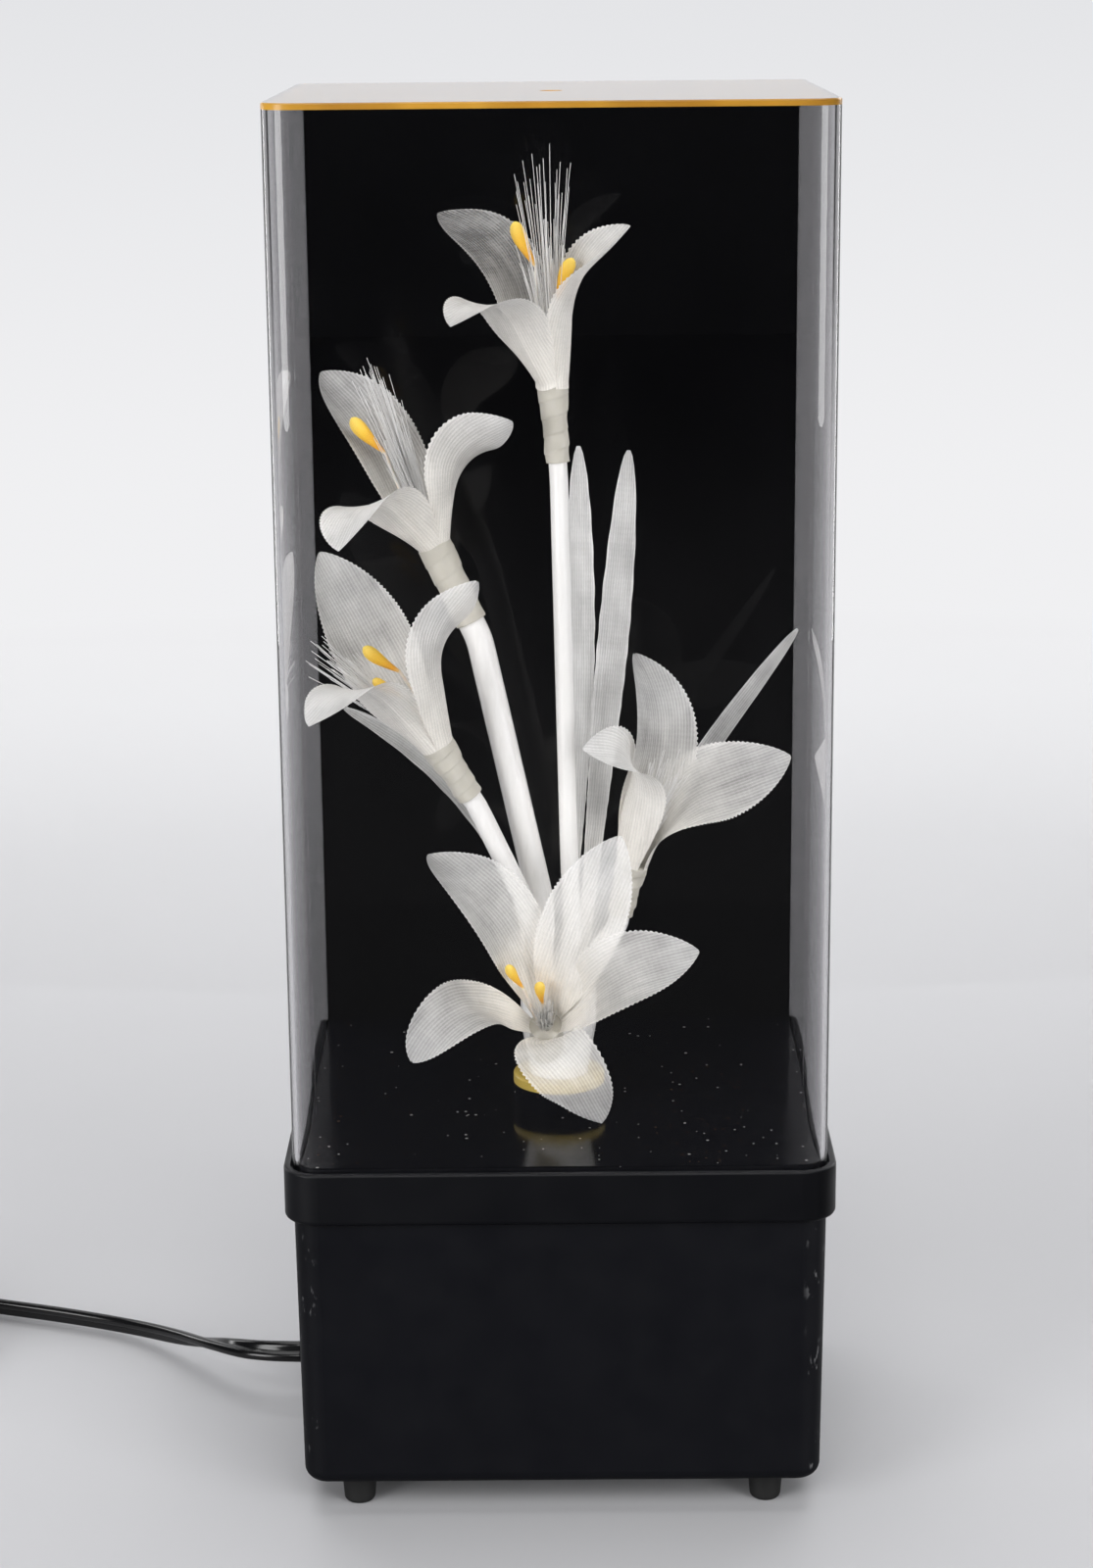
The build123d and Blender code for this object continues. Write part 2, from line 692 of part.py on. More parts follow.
def bulb_form(skin):
    """The pear-shaped glass, drawn in by a skin's thickness to make its hollow."""
    neck = bulb_neck_radius - skin
    wide = bulb_radius - skin
    crown = bulb_height - skin
    shoulder = bulb_height - bulb_radius
    side = Spline((neck, skin), (wide, shoulder), tangents=((0, 1), (0, 1)))
    dome = RadiusArc((wide, shoulder), (0, shoulder + wide), -wide)
    outline = [Line((0, skin), (neck, skin)), side, dome, Line((0, crown), (0, skin))]
    return revolve(make_face(Plane.XZ * Wire(outline)), Axis.Z)


# Rocker switch

def switch_nodes():
    wall = tub_half(tub_depth, switch_height + bezel_height / 2)
    face = wall + bezel_thickness
    at = Pos(switch_x, 0, switch_height)
    frame = at * Pos(0, face - bezel_thickness / 2, 0) * Box(bezel_width, bezel_thickness, bezel_height)
    frame = fillet(frame.edges().group_by(Axis.Y)[-1], bezel_thickness / 3)
    frame += at * Pos(0, wall, 0) * Box(switch_body_width, switch_body_depth, switch_body_height,
                                        align=(Align.CENTER, Align.MAX, Align.CENTER))
    frame -= at * Pos(0, face + overrun, 0) * Box(
        switch_window_width, switch_pocket_depth + overrun, switch_window_height,
        align=(Align.CENTER, Align.MAX, Align.CENTER))
    pivot = wall - rocker_pivot_depth
    pin = Plane(origin=(switch_x, pivot, switch_height), z_dir=(1, 0, 0))
    frame -= extrude(pin * Circle(rocker_pin_radius + slip_fit), switch_body_width / 2, both=True)
    parts["switch_frame"] = frame

    end_z = sqrt(rocker_reach ** 2 - rocker_end_rise ** 2)
    low_z = sqrt(rocker_reach ** 2 - rocker_end_drop ** 2)
    outline = [
        Line((rocker_end_rise, -end_z), (rocker_middle_rise, 0)),
        Line((rocker_middle_rise, 0), (rocker_end_rise, end_z)),
        ThreePointArc((rocker_end_rise, end_z), (0, rocker_reach), (-rocker_end_drop, low_z)),
        Line((-rocker_end_drop, low_z), (-rocker_back_drop, rocker_back_half)),
        Line((-rocker_back_drop, rocker_back_half), (-rocker_back_drop, -rocker_back_half)),
        Line((-rocker_back_drop, -rocker_back_half), (-rocker_end_drop, -low_z)),
        ThreePointArc((-rocker_end_drop, -low_z), (0, -rocker_reach), (rocker_end_rise, -end_z)),
    ]
    rocker = extrude(make_face(Plane.YZ * Wire(outline)), rocker_width / 2, both=True)
    rocker += extrude(Plane.YZ * Circle(rocker_pin_radius), rocker_width / 2 + rocker_pin_length, both=True)
    parts["switch_rocker"] = Pos(switch_x, pivot, switch_height) * Rot(-rocker_tilt, 0, 0) * rocker

    back = wall - switch_body_depth
    parts["switch_terminals"] = group(
        at * Pos(0, back, sz * terminal_pitch / 2) * Box(
            terminal_width, terminal_length, terminal_thickness,
            align=(Align.CENTER, Align.MAX, Align.CENTER))
        for sz in (-1, 1))


# Case

def cover_nodes():
    outer = plan(cover_width, cover_depth, cover_corner_radius, sheet_thickness / 4)
    inner = Pos(0, sheet_thickness, 0) * plan(
        inner_width, cover_depth, cover_corner_radius - sheet_thickness, sheet_thickness / 4)
    beyond = Pos(0, cover_depth / 2, 0) * Rectangle(inner_width, 2 * back_thickness)
    parts["clear_walls"] = slab(outer - inner - beyond, groove_floor, cover_top)
    back = Pos(0, cover_depth / 2 - back_thickness / 2, 0) * Rectangle(inner_width, back_thickness)
    parts["back_panel"] = slab(back, groove_floor, cover_top)
    top = slab(plan(cover_width, cover_depth, cover_corner_radius, top_rear_radius),
               cover_top, cover_top + top_thickness)
    top = chamfer(top.edges().group_by(Axis.Z)[-1], top_bevel)
    parts["top_plate"] = top - rod(0, 0, cover_top - overrun, cover_top + top_thickness + overrun,
                                   vent_diameter / 2)


# Bouquet

def flower_frame(flower):
    """The neck of a flower, its axis, and the two directions that its azimuths turn in."""
    lean, heading = [radians(angle) for angle in flower["axis"]]
    axis = Vector(sin(lean) * cos(heading), sin(lean) * sin(heading), cos(lean))
    east = (Vector(1, 0, 0) - axis * axis.X).normalized()
    return case_point(flower["neck"]), axis, east, axis.cross(east)


def ray(frame, azimuth, lean):
    """A direction that leans away from a flower's axis towards an azimuth."""
    neck, axis, east, north = frame
    outward = east * cos(azimuth) + north * sin(azimuth)
    return axis * cos(lean) + outward * sin(lean)


def thin_section(middle, across, inward, width, half_angle, thickness):
    """A slice of a petal or leaf: two arcs a thickness apart, cupped to one side."""
    bow = width / 2 / half_angle
    centre = middle + inward * bow
    edges = []
    ends = []
    for radius in (bow + thickness / 2, bow - thickness / 2):
        points = [centre + across * (radius * sin(a)) - inward * (radius * cos(a))
                  for a in (-half_angle, 0, half_angle)]
        edges.append(ThreePointArc(*points))
        ends.append(points)
    edges.append(Line(ends[0][2], ends[1][2]))
    edges.append(Line(ends[0][0], ends[1][0]))
    return Wire(edges)


def petal_width_at(u, base_width, width):
    """Swells fast from the base to the widest place, then closes to a pointed tip."""
    if u < petal_widest_share:
        swell = sin(pi / 2 * u / petal_widest_share) ** petal_swell_power
        return base_width + (width - base_width) * swell
    return width * (1 - ((u - petal_widest_share) / (1 - petal_widest_share)) ** 2) ** petal_close_power


def petal(frame, count, shape):
    azimuth, sway, lean_base, bend_place, lean_tip, twist, length_share, width_share, cup = shape
    neck, axis, east, north = frame
    fill = pi / count * petal_fill_share
    base_width = 2 * fill * neck_radius
    middle = neck + axis * petal_lift + ray(frame, radians(azimuth), pi / 2) * neck_radius
    steps_per_section = 8
    previous = 0.0
    sections = []
    for share in petal_section_shares:
        for step in range(steps_per_section):
            u = previous + (share - previous) * (step + 0.5) / steps_per_section
            bend = smooth((u - bend_place + petal_bend_half_share) / (2 * petal_bend_half_share))
            lean = radians(lean_base + (lean_tip - lean_base) * bend)
            heading = radians(azimuth + sway * smooth(u / 0.6))
            run = petal_length * length_share * (share - previous) / steps_per_section
            middle += ray(frame, heading, lean) * run
        previous = share
        bend = smooth((share - bend_place + petal_bend_half_share) / (2 * petal_bend_half_share))
        lean = radians(lean_base + (lean_tip - lean_base) * bend)
        heading = radians(azimuth + sway * smooth(share / 0.6))
        along = ray(frame, heading, lean)
        inward = ray(frame, heading, lean - pi / 2)
        across = inward.cross(along)
        turn = radians(twist) * bend
        across, inward = across * cos(turn) + inward * sin(turn), inward * cos(turn) - across * sin(turn)
        half_angle = fill + (radians(cup) - fill) * smooth(share / 0.4)
        width = petal_width_at(share, base_width, petal_width * width_share)
        sections.append(thin_section(middle, across, inward, width, half_angle, petal_thickness))
    return Solid.make_loft(sections)


def stamen(frame, foot_azimuth, azimuth, lean, length_share):
    """A filament with a club-shaped anther, standing on the top of the calyx."""
    neck, axis, east, north = frame
    azimuth = radians(azimuth)
    lean = radians(lean)
    start = neck + ray(frame, radians(foot_azimuth), pi / 2) * stamen_ring_radius
    start += axis * (stamen_radius * sin(lean) + slip_fit / 2)
    length = petal_length * length_share
    shoulder = length - anther_radius
    outline = Wire([
        Line((0, 0), (stamen_radius, 0)),
        Line((stamen_radius, 0), (stamen_radius, length - anther_length)),
        Line((stamen_radius, length - anther_length), (anther_radius, shoulder)),
        RadiusArc((anther_radius, shoulder), (0, length), -anther_radius),
        Line((0, length), (0, 0)),
    ])
    club = revolve(make_face(Plane.XZ * outline), Axis.Z)
    return Plane(origin=start, z_dir=ray(frame, azimuth, lean)) * club


def tuft(frame, count, azimuth, lean, length_share, spread):
    """Fibre strands that fan out from a round backing, in a sunflower pattern, none crossing."""
    neck, axis, east, north = frame
    plane = Plane(origin=neck, z_dir=axis, x_dir=east)
    backing = plane * Cylinder(tuft_radius, tuft_base_height, align=(Align.CENTER, Align.CENTER, Align.MIN))
    heading = ray(frame, radians(azimuth), radians(lean))
    golden = pi * (3 - sqrt(5))
    strands = []
    for i in range(count):
        radius = (tuft_radius - strand_width) * sqrt((i + 0.5) / count)
        turn = i * golden
        x, y = radius * cos(turn), radius * sin(turn)
        root = plane.from_local_coords(Vector(x, y, tuft_base_height / 2))
        base = Plane(origin=root, z_dir=axis, x_dir=east)
        face = (base * Rectangle(strand_width, strand_width)).face()
        length = petal_length * length_share * (0.82 + 0.18 * cos(2.4 * i))
        splay = (east * x + north * y) * (spread - 1)
        strands.append(Solid.extrude(face, heading * length + splay))
    return backing.fuse(*strands)


def calyx(frame, length, low_radius):
    """The taped cone under a flower's petals, from its stem up to its neck."""
    neck, axis, east, north = frame
    foot = Plane(origin=neck - axis * length, z_dir=axis)
    return foot * Cone(low_radius, calyx_radius, length, align=(Align.CENTER, Align.CENTER, Align.MIN))


def leaf(shares):
    foot_shares, pull_low, pull_high, tip_shares, heading, tilt, size_share = shares
    p0 = trunk_point(foot_shares) + Vector(0, 0, leaf_lift)
    p1 = case_point(pull_low)
    p2 = case_point(pull_high)
    p3 = case_point(tip_shares)
    heading, tilt = radians(heading), radians(tilt)
    facing = Vector(cos(heading) * cos(tilt), sin(heading) * cos(tilt), sin(tilt))
    sections = []
    for u in leaf_section_shares:
        v = 1 - u
        middle = p0 * v ** 3 + p1 * (3 * v * v * u) + p2 * (3 * v * u * u) + p3 * u ** 3
        along = ((p1 - p0) * (v * v) + (p2 - p1) * (2 * v * u) + (p3 - p2) * (u * u)).normalized()
        across = along.cross(facing).normalized()
        if u < leaf_widest_share:
            swell = leaf_base_width_share + (1 - leaf_base_width_share) * smooth(u / leaf_widest_share)
        else:
            swell = sqrt(1 - ((u - leaf_widest_share) / (1 - leaf_widest_share)) ** 2)
        inward = across.cross(along)
        sections.append(thin_section(middle, across, inward, leaf_width * size_share * swell,
                                     radians(leaf_cup), leaf_thickness))
    return Solid.make_loft(sections)


def bouquet_nodes():
    trunk = parts["fibre_trunk"]
    wraps = []
    stamens = []
    for name, flower in flower_shares.items():
        frame = flower_frame(flower)
        neck, axis, east, north = frame
        count = len(flower["petals"])
        parts["petals_" + name] = group(petal(frame, count, shape) for shape in flower["petals"])
        stamens += [stamen(frame, *shape) for shape in flower["stamens"]]
        parts["fibres_" + name] = tuft(frame, *flower["tuft"])
        length = calyx_length * calyx_length_shares[name]
        if name in stem_radii:
            radius = stem_radii[name]
            wraps.append(calyx(frame, length, radius))
            foot = trunk_point(stem_foot_shares[name])
            waypoints = [case_point(shares) for shares in stem_route_shares[name]]
            last = neck - axis * length
            route = [*waypoints, last - axis * length / 4, last]
            upright = Vector(0, 0, (route[0].Z - foot.Z) * stem_rise_share)
            parts["stem_" + name] = tube([foot, foot + upright, *route], radius)[0]
        else:
            wraps.append(calyx(frame, length, neck_radius) - trunk)
    parts["calyx_wraps"] = group(wraps)
    parts["stamens"] = group(stamens)
    for name, shares in leaf_shares.items():
        parts["leaf_" + name] = leaf(shares)


# Cord

def biarc(start, start_dir, end, end_dir):
    """Two tangent arcs from one point and direction to another."""
    chord = end - start
    both = start_dir + end_dir
    gap = 2 * (1 - start_dir.dot(end_dir))
    reach = (sqrt(chord.dot(both) ** 2 + gap * chord.dot(chord)) - chord.dot(both)) / gap
    near = start + start_dir * reach
    far = end - end_dir * reach
    joint = (near + far) / 2
    middle_dir = (far - near).normalized()
    return [TangentArc(start, joint, tangent=start_dir), TangentArc(joint, end, tangent=middle_dir)]


def coil_curve():
    """The centre line of the put-away coil: two layers, spiralling in below and out above."""
    entry = Vector(*cord_route[-1])
    heading = (entry - Vector(*cord_route[-2])).normalized()
    outer = coil_middle_radius + coil_pitch * coil_layer_turns / 2
    turn_in = atan2(heading.Y, heading.X) - pi / 2
    start = entry + heading * cord_diameter
    centre = start - Vector(cos(turn_in), sin(turn_in), 0) * outer
    centre = Vector(centre.X, centre.Y, entry.Z)
    turn_out = radians(coil_plug_heading - 90)
    whole = round(2 * coil_layer_turns + 0.5 - (turn_out - turn_in) / (2 * pi))
    total = turn_out - turn_in + 2 * pi * whole
    middle = total / 2

    def place(turn):
        from_middle = abs(turn - middle)
        radius = outer - coil_pitch * (middle - from_middle) / (2 * pi)
        climb = smooth((turn - middle + pi / 2) / pi)
        angle = turn_in + turn
        spoke = Vector(cos(angle), sin(angle), 0) * radius
        return centre + spoke + Vector(0, 0, coil_pitch * climb)

    return place, total, middle, entry, heading, centre, turn_in


def coil_path():
    place, total, middle, entry, heading, centre, turn_in = coil_curve()
    quarter = pi / 4
    stops = [0.0]
    before = int((middle - pi / 2) / quarter)
    stops += [(middle - pi / 2) * (i + 1) / before for i in range(before)]
    stops += [middle + (i - 1) * pi / 4 for i in range(0, 4)]
    stops += [middle + pi / 2 + (middle - pi / 2) * (i + 1) / before for i in range(before)]
    nudge = 1e-4

    def direction(turn):
        if turn <= 0:
            return heading
        if turn >= total:
            out = radians(coil_plug_heading)
            return Vector(cos(out), sin(out), 0)
        return (place(turn + nudge) - place(turn - nudge)).normalized()

    edges = [Line(entry, place(0))]
    for low, high in zip(stops, stops[1:]):
        edges += biarc(place(low), direction(low), place(high), direction(high))
    out = direction(total)
    edges.append(Line(place(total), place(total) + out * cord_diameter))
    samples = [place(total * i / 1200) for i in range(1201)]
    return Wire(edges), samples, place(total) + out * cord_diameter, out


def least_self_gap(samples):
    """The nearest that the coil comes to itself, skin to skin, away from its own neighbours."""
    apart = int(len(samples) * 0.06)
    least = min((samples[i] - samples[j]).length
                for i in range(0, len(samples), 3) for j in range(i + apart, len(samples), 3))
    return least - cord_diameter


def cord_nodes():
    wall = tub_half(tub_width, cord_exit_height + bushing_flange_radius)
    bushing_plane = Plane(origin=(-wall, cord_exit_y, cord_exit_height), z_dir=(-1, 0, 0))
    bushing = extrude(bushing_plane * Circle(bushing_flange_radius), bushing_flange_thickness)
    bushing = fillet(bushing.edges().group_by(Axis.X)[0], bushing_flange_thickness / 3)
    inner_end = tub_wall + bushing_inner_length
    bushing += extrude(bushing_plane * Circle(bushing_neck_radius), -inner_end)
    parts["cord_bushing"] = bushing

    exit_point = Vector(-wall - bushing_flange_thickness, cord_exit_y, cord_exit_height)
    first_bend = exit_point - Vector(cord_exit_run, 0, 0)
    points = [exit_point, first_bend] + [Vector(*p) for p in cord_route]
    print("cord radii", [round(r, 1) for r in corner_radii(points)])
    lead, path = tube(points, cord_diameter / 2)
    print("cord lead volume", round(lead.volume, 1), "section times length",
          round(pi * cord_diameter ** 2 / 4 * path.length, 1), "length", round(path.length, 1))
    parts["cord_lead"] = lead

    wire, samples, coil_end, out = coil_path()
    section = Plane(origin=wire @ 0, z_dir=wire % 0) * Circle(cord_diameter / 2)
    coil = sweep(section, path=wire)
    print("coil volume", round(coil.volume, 1), "section times length",
          round(pi * cord_diameter ** 2 / 4 * wire.length, 1), "length", round(wire.length, 1),
          "least gap", round(least_self_gap(samples), 2))
    parts["cord_coil"] = coil
    parts["coil_tie"] = coil_tie()
    plug_nodes(coil_end, out)


def coil_tie():
    """A flat band right round all the turns on one side of the coil."""
    place, total, middle, entry, heading, centre, turn_in = coil_curve()
    half = cord_diameter / 2 + slip_fit
    first = (radians(tie_heading) - turn_in) % (2 * pi)
    turns = [first + 2 * pi * i for i in range(int((total - first) / (2 * pi)) + 1)]
    radii = [(place(turn) - centre).length for turn in turns]
    sag = (tie_width / 2) ** 2 / (2 * min(radii))
    low, high = entry.Z - half, entry.Z + coil_pitch + half
    near, far = min(radii) - half - sag - tie_slack, max(radii) + half + sag + tie_slack
    window = Pos((near + far) / 2, (low + high) / 2) * Rectangle(far - near, high - low)
    rim = Pos((near + far) / 2, (low + high) / 2) * Rectangle(
        far - near + 2 * tie_thickness, high - low + 2 * tie_thickness)
    band = extrude(Plane.XZ * (rim - window), tie_width / 2, both=True)
    return Pos(centre.X, centre.Y, 0) * Rot(0, 0, tie_heading) * band


def plug_nodes(coil_end, out):
    across = Vector(-out.Y, out.X, 0)
    nose = coil_end + out * plug_lead
    nose = Vector(nose.X, nose.Y, plug_axis_height)
    lead, path = tube([coil_end, coil_end + out * plug_lead / 3, nose - out * plug_lead / 3, nose],
                      cord_diameter / 2)
    parts["plug_lead"] = lead
    face = Plane(origin=nose, z_dir=out, x_dir=across)
    body_plane = face.offset(plug_taper_length)
    height = 2 * plug_axis_height
    wide = body_plane * RectangleRounded(plug_width, height, plug_edge_radius)
    taper = loft([face * Circle(plug_nose_radius), wide])
    body = taper + extrude(wide, plug_body_length)
    parts["plug_body"] = body - extrude(face * Circle(cord_diameter / 2), overrun)
    tip = body_plane.offset(plug_body_length)
    blades = []
    for side in (-1, 1):
        blade = tip * Pos(side * blade_pitch / 2, 0) * Rectangle(blade_thickness, blade_width)
        blades.append(extrude(blade, blade_length))
    parts["plug_blades"] = group(blades)


# Leads inside the base

def lead_nodes():
    wall = tub_half(tub_width, cord_exit_height + bushing_flange_radius)
    inner_x = -wall + tub_wall + bushing_inner_length
    low = floor_top + lead_floor_gap + lead_diameter / 2
    terminal_y = tub_half(tub_depth, switch_height + bezel_height / 2) - switch_body_depth - terminal_length
    live = Vector(inner_x, cord_exit_y + lead_spacing / 2, cord_exit_height)
    neutral = Vector(inner_x, cord_exit_y - lead_spacing / 2, cord_exit_height)
    run = lead_terminal_run
    bottom = Vector(switch_x, terminal_y, switch_height - terminal_pitch / 2)
    top = Vector(switch_x, terminal_y, switch_height + terminal_pitch / 2)
    holder_z = holder_seat_height + holder_height / 2
    right = Vector(holder_radius, bundle_setback, holder_z)
    left = Vector(-holder_radius, bundle_setback, holder_z)
    lane_y = motor_y - motor_post_radius - lead_post_gap - lead_diameter / 2
    live_points = [live, live + Vector(1.5 * run, 0, 0), Vector(-motor_ear_pitch / 2, lane_y, low),
                   Vector(0, lane_y, low), Vector(switch_x, terminal_y - 2 * run, low + run),
                   bottom - Vector(0, run, 0), bottom]
    neutral_points = [neutral, neutral + Vector(1.5 * run, 0, 0), left - Vector(2 * run, 0, run),
                      left - Vector(run, 0, 0), left]
    switched_points = [top, top - Vector(0, run, 0), Vector(switch_x, bundle_setback + 2 * run, holder_z),
                       right + Vector(run, 0, 0), right]
    parts["inner_leads"] = group(tube(points, lead_diameter / 2)[0]
                                 for points in (live_points, neutral_points, switched_points))


base_nodes()
bundle_nodes()
motor_nodes()
lamp_nodes()
switch_nodes()
cover_nodes()
bouquet_nodes()
cord_nodes()
lead_nodes()

for node, shape in parts.items():
    export_step(shape, f"parts/{node}.step")
print(len(parts), "nodes")
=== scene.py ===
import math
import random

import bpy
import numpy as np
from mathutils import Matrix, Vector


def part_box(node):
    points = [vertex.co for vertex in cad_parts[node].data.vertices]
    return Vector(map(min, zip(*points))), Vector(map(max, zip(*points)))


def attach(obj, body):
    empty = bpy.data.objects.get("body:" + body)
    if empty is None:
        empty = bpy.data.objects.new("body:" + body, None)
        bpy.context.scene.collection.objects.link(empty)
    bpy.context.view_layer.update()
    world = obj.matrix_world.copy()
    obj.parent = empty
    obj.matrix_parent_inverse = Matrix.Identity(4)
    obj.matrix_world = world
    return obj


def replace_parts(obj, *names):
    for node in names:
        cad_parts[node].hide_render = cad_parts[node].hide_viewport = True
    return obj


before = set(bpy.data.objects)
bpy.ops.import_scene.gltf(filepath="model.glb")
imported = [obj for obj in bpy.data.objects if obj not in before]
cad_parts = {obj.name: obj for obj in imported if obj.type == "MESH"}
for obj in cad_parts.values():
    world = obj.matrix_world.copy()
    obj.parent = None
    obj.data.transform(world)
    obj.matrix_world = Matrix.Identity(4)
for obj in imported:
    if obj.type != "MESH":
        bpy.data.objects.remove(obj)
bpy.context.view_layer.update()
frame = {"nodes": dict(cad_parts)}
nodes = frame["nodes"]
scene = bpy.context.scene
scene.view_settings.view_transform = "Standard"
MM = 0.001
rng = random.Random(7)

# Camera at the photograph's viewing angle, in metres and radians
CAMERA_PLACE = (-0.00009, -0.77661, 0.37575)
CAMERA_YAW, CAMERA_PITCH, CAMERA_ROLL = -0.0032, 0.2545, 0.0090
CAMERA_LENS, CAMERA_SENSOR, CAMERA_CLIP = 73.03, 36, 0.01


def make_camera():
    yaw, pitch, roll = CAMERA_YAW, CAMERA_PITCH, CAMERA_ROLL
    forward = Vector((math.sin(yaw) * math.cos(pitch), math.cos(yaw) * math.cos(pitch), -math.sin(pitch)))
    right = Vector((math.cos(yaw), -math.sin(yaw), 0))
    down = forward.cross(right)
    image_x = right * math.cos(roll) + down * math.sin(roll)
    image_y = down * math.cos(roll) - right * math.sin(roll)
    data = bpy.data.cameras.new("camera")
    data.sensor_width = CAMERA_SENSOR
    data.lens = CAMERA_LENS
    data.clip_start = CAMERA_CLIP
    camera = bpy.data.objects.new("camera", data)
    scene.collection.objects.link(camera)
    turn = Matrix((image_x, -image_y, -forward)).transposed().to_4x4()
    camera.matrix_world = Matrix.Translation(CAMERA_PLACE) @ turn
    scene.camera = camera


# Materials: places are in metres, and a noise's scale is in repeats per metre
NOISE_ROUGHNESS = 0.55
NOISE_LOW, NOISE_HIGH = 0.3, 0.7
NO_BOUNCE = 0.5


class Nodes:
    """A node tree, with short calls to add nodes to it."""

    def __init__(self, tree):
        self.tree = tree

    def add(self, kind, **settings):
        node = self.tree.nodes.new(kind)
        for key, value in settings.items():
            setattr(node, key, value)
        return node

    def link(self, output, target):
        self.tree.links.new(output, target)

    def place(self, kind="Object"):
        return self.add("ShaderNodeTexCoord").outputs[kind]

    def split(self, kind="Object"):
        node = self.add("ShaderNodeSeparateXYZ")
        self.link(self.place(kind), node.inputs[0])
        return node.outputs

    def attribute(self, name):
        return self.add("ShaderNodeAttribute", attribute_name=name).outputs["Fac"]

    def math(self, operation, a, b=0.0, clamp=False):
        node = self.add("ShaderNodeMath", operation=operation, use_clamp=clamp)
        for slot, value in zip(node.inputs, (a, b)):
            if isinstance(value, (int, float)):
                slot.default_value = value
            else:
                self.link(value, slot)
        return node.outputs[0]

    def noise(self, scale, detail=4, vector=None):
        node = self.add("ShaderNodeTexNoise")
        node.inputs["Scale"].default_value = scale
        node.inputs["Detail"].default_value = detail
        node.inputs["Roughness"].default_value = NOISE_ROUGHNESS
        self.link(vector or self.place(), node.inputs["Vector"])
        return node.outputs["Fac"]

    def stretched(self, x, y, z, kind="Object"):
        node = self.add("ShaderNodeMapping")
        node.inputs["Scale"].default_value = (x, y, z)
        self.link(self.place(kind), node.inputs["Vector"])
        return node.outputs["Vector"]

    def ramp(self, value, stops):
        node = self.add("ShaderNodeValToRGB")
        ramp = node.color_ramp
        while len(ramp.elements) < len(stops):
            ramp.elements.new(0.5)
        for element, (place, color) in zip(ramp.elements, stops):
            element.position = place
            element.color = (*color, 1)
        self.link(value, node.inputs["Fac"])
        return node.outputs["Color"]

    def span(self, value, low, high, to_low, to_high):
        node = self.add("ShaderNodeMapRange")
        numbers = (low, high, to_low, to_high)
        for slot, number in zip(("From Min", "From Max", "To Min", "To Max"), numbers):
            node.inputs[slot].default_value = number
        self.link(value, node.inputs["Value"])
        return node.outputs["Result"]

    def drift(self, noise, to_low, to_high):
        """The range that a noise mostly stays in, as another range."""
        return self.span(noise, NOISE_LOW, NOISE_HIGH, to_low, to_high)

    def mix(self, factor, a, b):
        node = self.add("ShaderNodeMix", data_type="RGBA")
        self.link(factor, node.inputs["Factor"])
        for slot, value in ((node.inputs[6], a), (node.inputs[7], b)):
            if isinstance(value, tuple):
                slot.default_value = (*value, 1)
            else:
                self.link(value, slot)
        return node.outputs[2]

    def direct(self, path):
        """1 for a ray that has met only clear sheet since the camera, 0 after any other bounce."""
        bounces = self.math("ADD", path.outputs["Diffuse Depth"], path.outputs["Glossy Depth"])
        return self.math("LESS_THAN", bounces, NO_BOUNCE)


class Shader(Nodes):
    """A material around one Principled shader."""

    def __init__(self, name, color, roughness, **sockets):
        self.material = bpy.data.materials.new(name)
        self.material.use_nodes = True
        super().__init__(self.material.node_tree)
        self.bsdf = self.tree.nodes["Principled BSDF"]
        self.bsdf.inputs["Base Color"].default_value = (*color, 1)
        self.bsdf.inputs["Roughness"].default_value = roughness
        for key, value in sockets.items():
            self.bsdf.inputs[key.replace("_", " ")].default_value = value

    def bump(self, height, strength, distance):
        node = self.add("ShaderNodeBump")
        node.inputs["Strength"].default_value = strength
        node.inputs["Distance"].default_value = distance
        self.link(height, node.inputs["Height"])
        self.link(node.outputs["Normal"], self.bsdf.inputs["Normal"])

    def color(self, output):
        self.link(output, self.bsdf.inputs["Base Color"])

    def roughness(self, output):
        self.link(output, self.bsdf.inputs["Roughness"])


MOULD_DRIFT, MOULD_GLOSS, MOULD_GRAIN, MOULD_DEPTH = 35, 90, 2600, 0.00004
BLACK, BLACK_DARK, BLACK_LIGHT = (0.0045, 0.0048, 0.0066), (0.0026, 0.0028, 0.0046), (0.004, 0.0043, 0.0067)
SCUFF_FROM, SCUFF_FULL, SCUFF_COLOR = 0.006, 0.003, (0.32, 0.32, 0.33)
DECK_FROM, DECK_FULL = 0.0921, 0.0925
DUST, CRUMB_PALE, CRUMB_BROWN = (0.3, 0.27, 0.23), (0.42, 0.41, 0.4), (0.085, 0.05, 0.03)
ACRYLIC_IOR = 1.49


def moulded(name, dark, light, rough_low, rough_high, grain=MOULD_GRAIN, depth=MOULD_DEPTH):
    """Moulded plastic or rubber: faint colour drift, fine grain and uneven gloss."""
    s = Shader(name, light, rough_low)
    s.color(s.mix(s.noise(MOULD_DRIFT), dark, light))
    s.roughness(s.drift(s.noise(MOULD_GLOSS, 6), rough_low, rough_high))
    s.bump(s.noise(grain, 2), 0.25, depth)
    return s.material


def black_plastic(s):
    """The base's black: faintly blue, with a slow drift."""
    return s.mix(s.noise(MOULD_DRIFT), BLACK_DARK, BLACK_LIGHT)


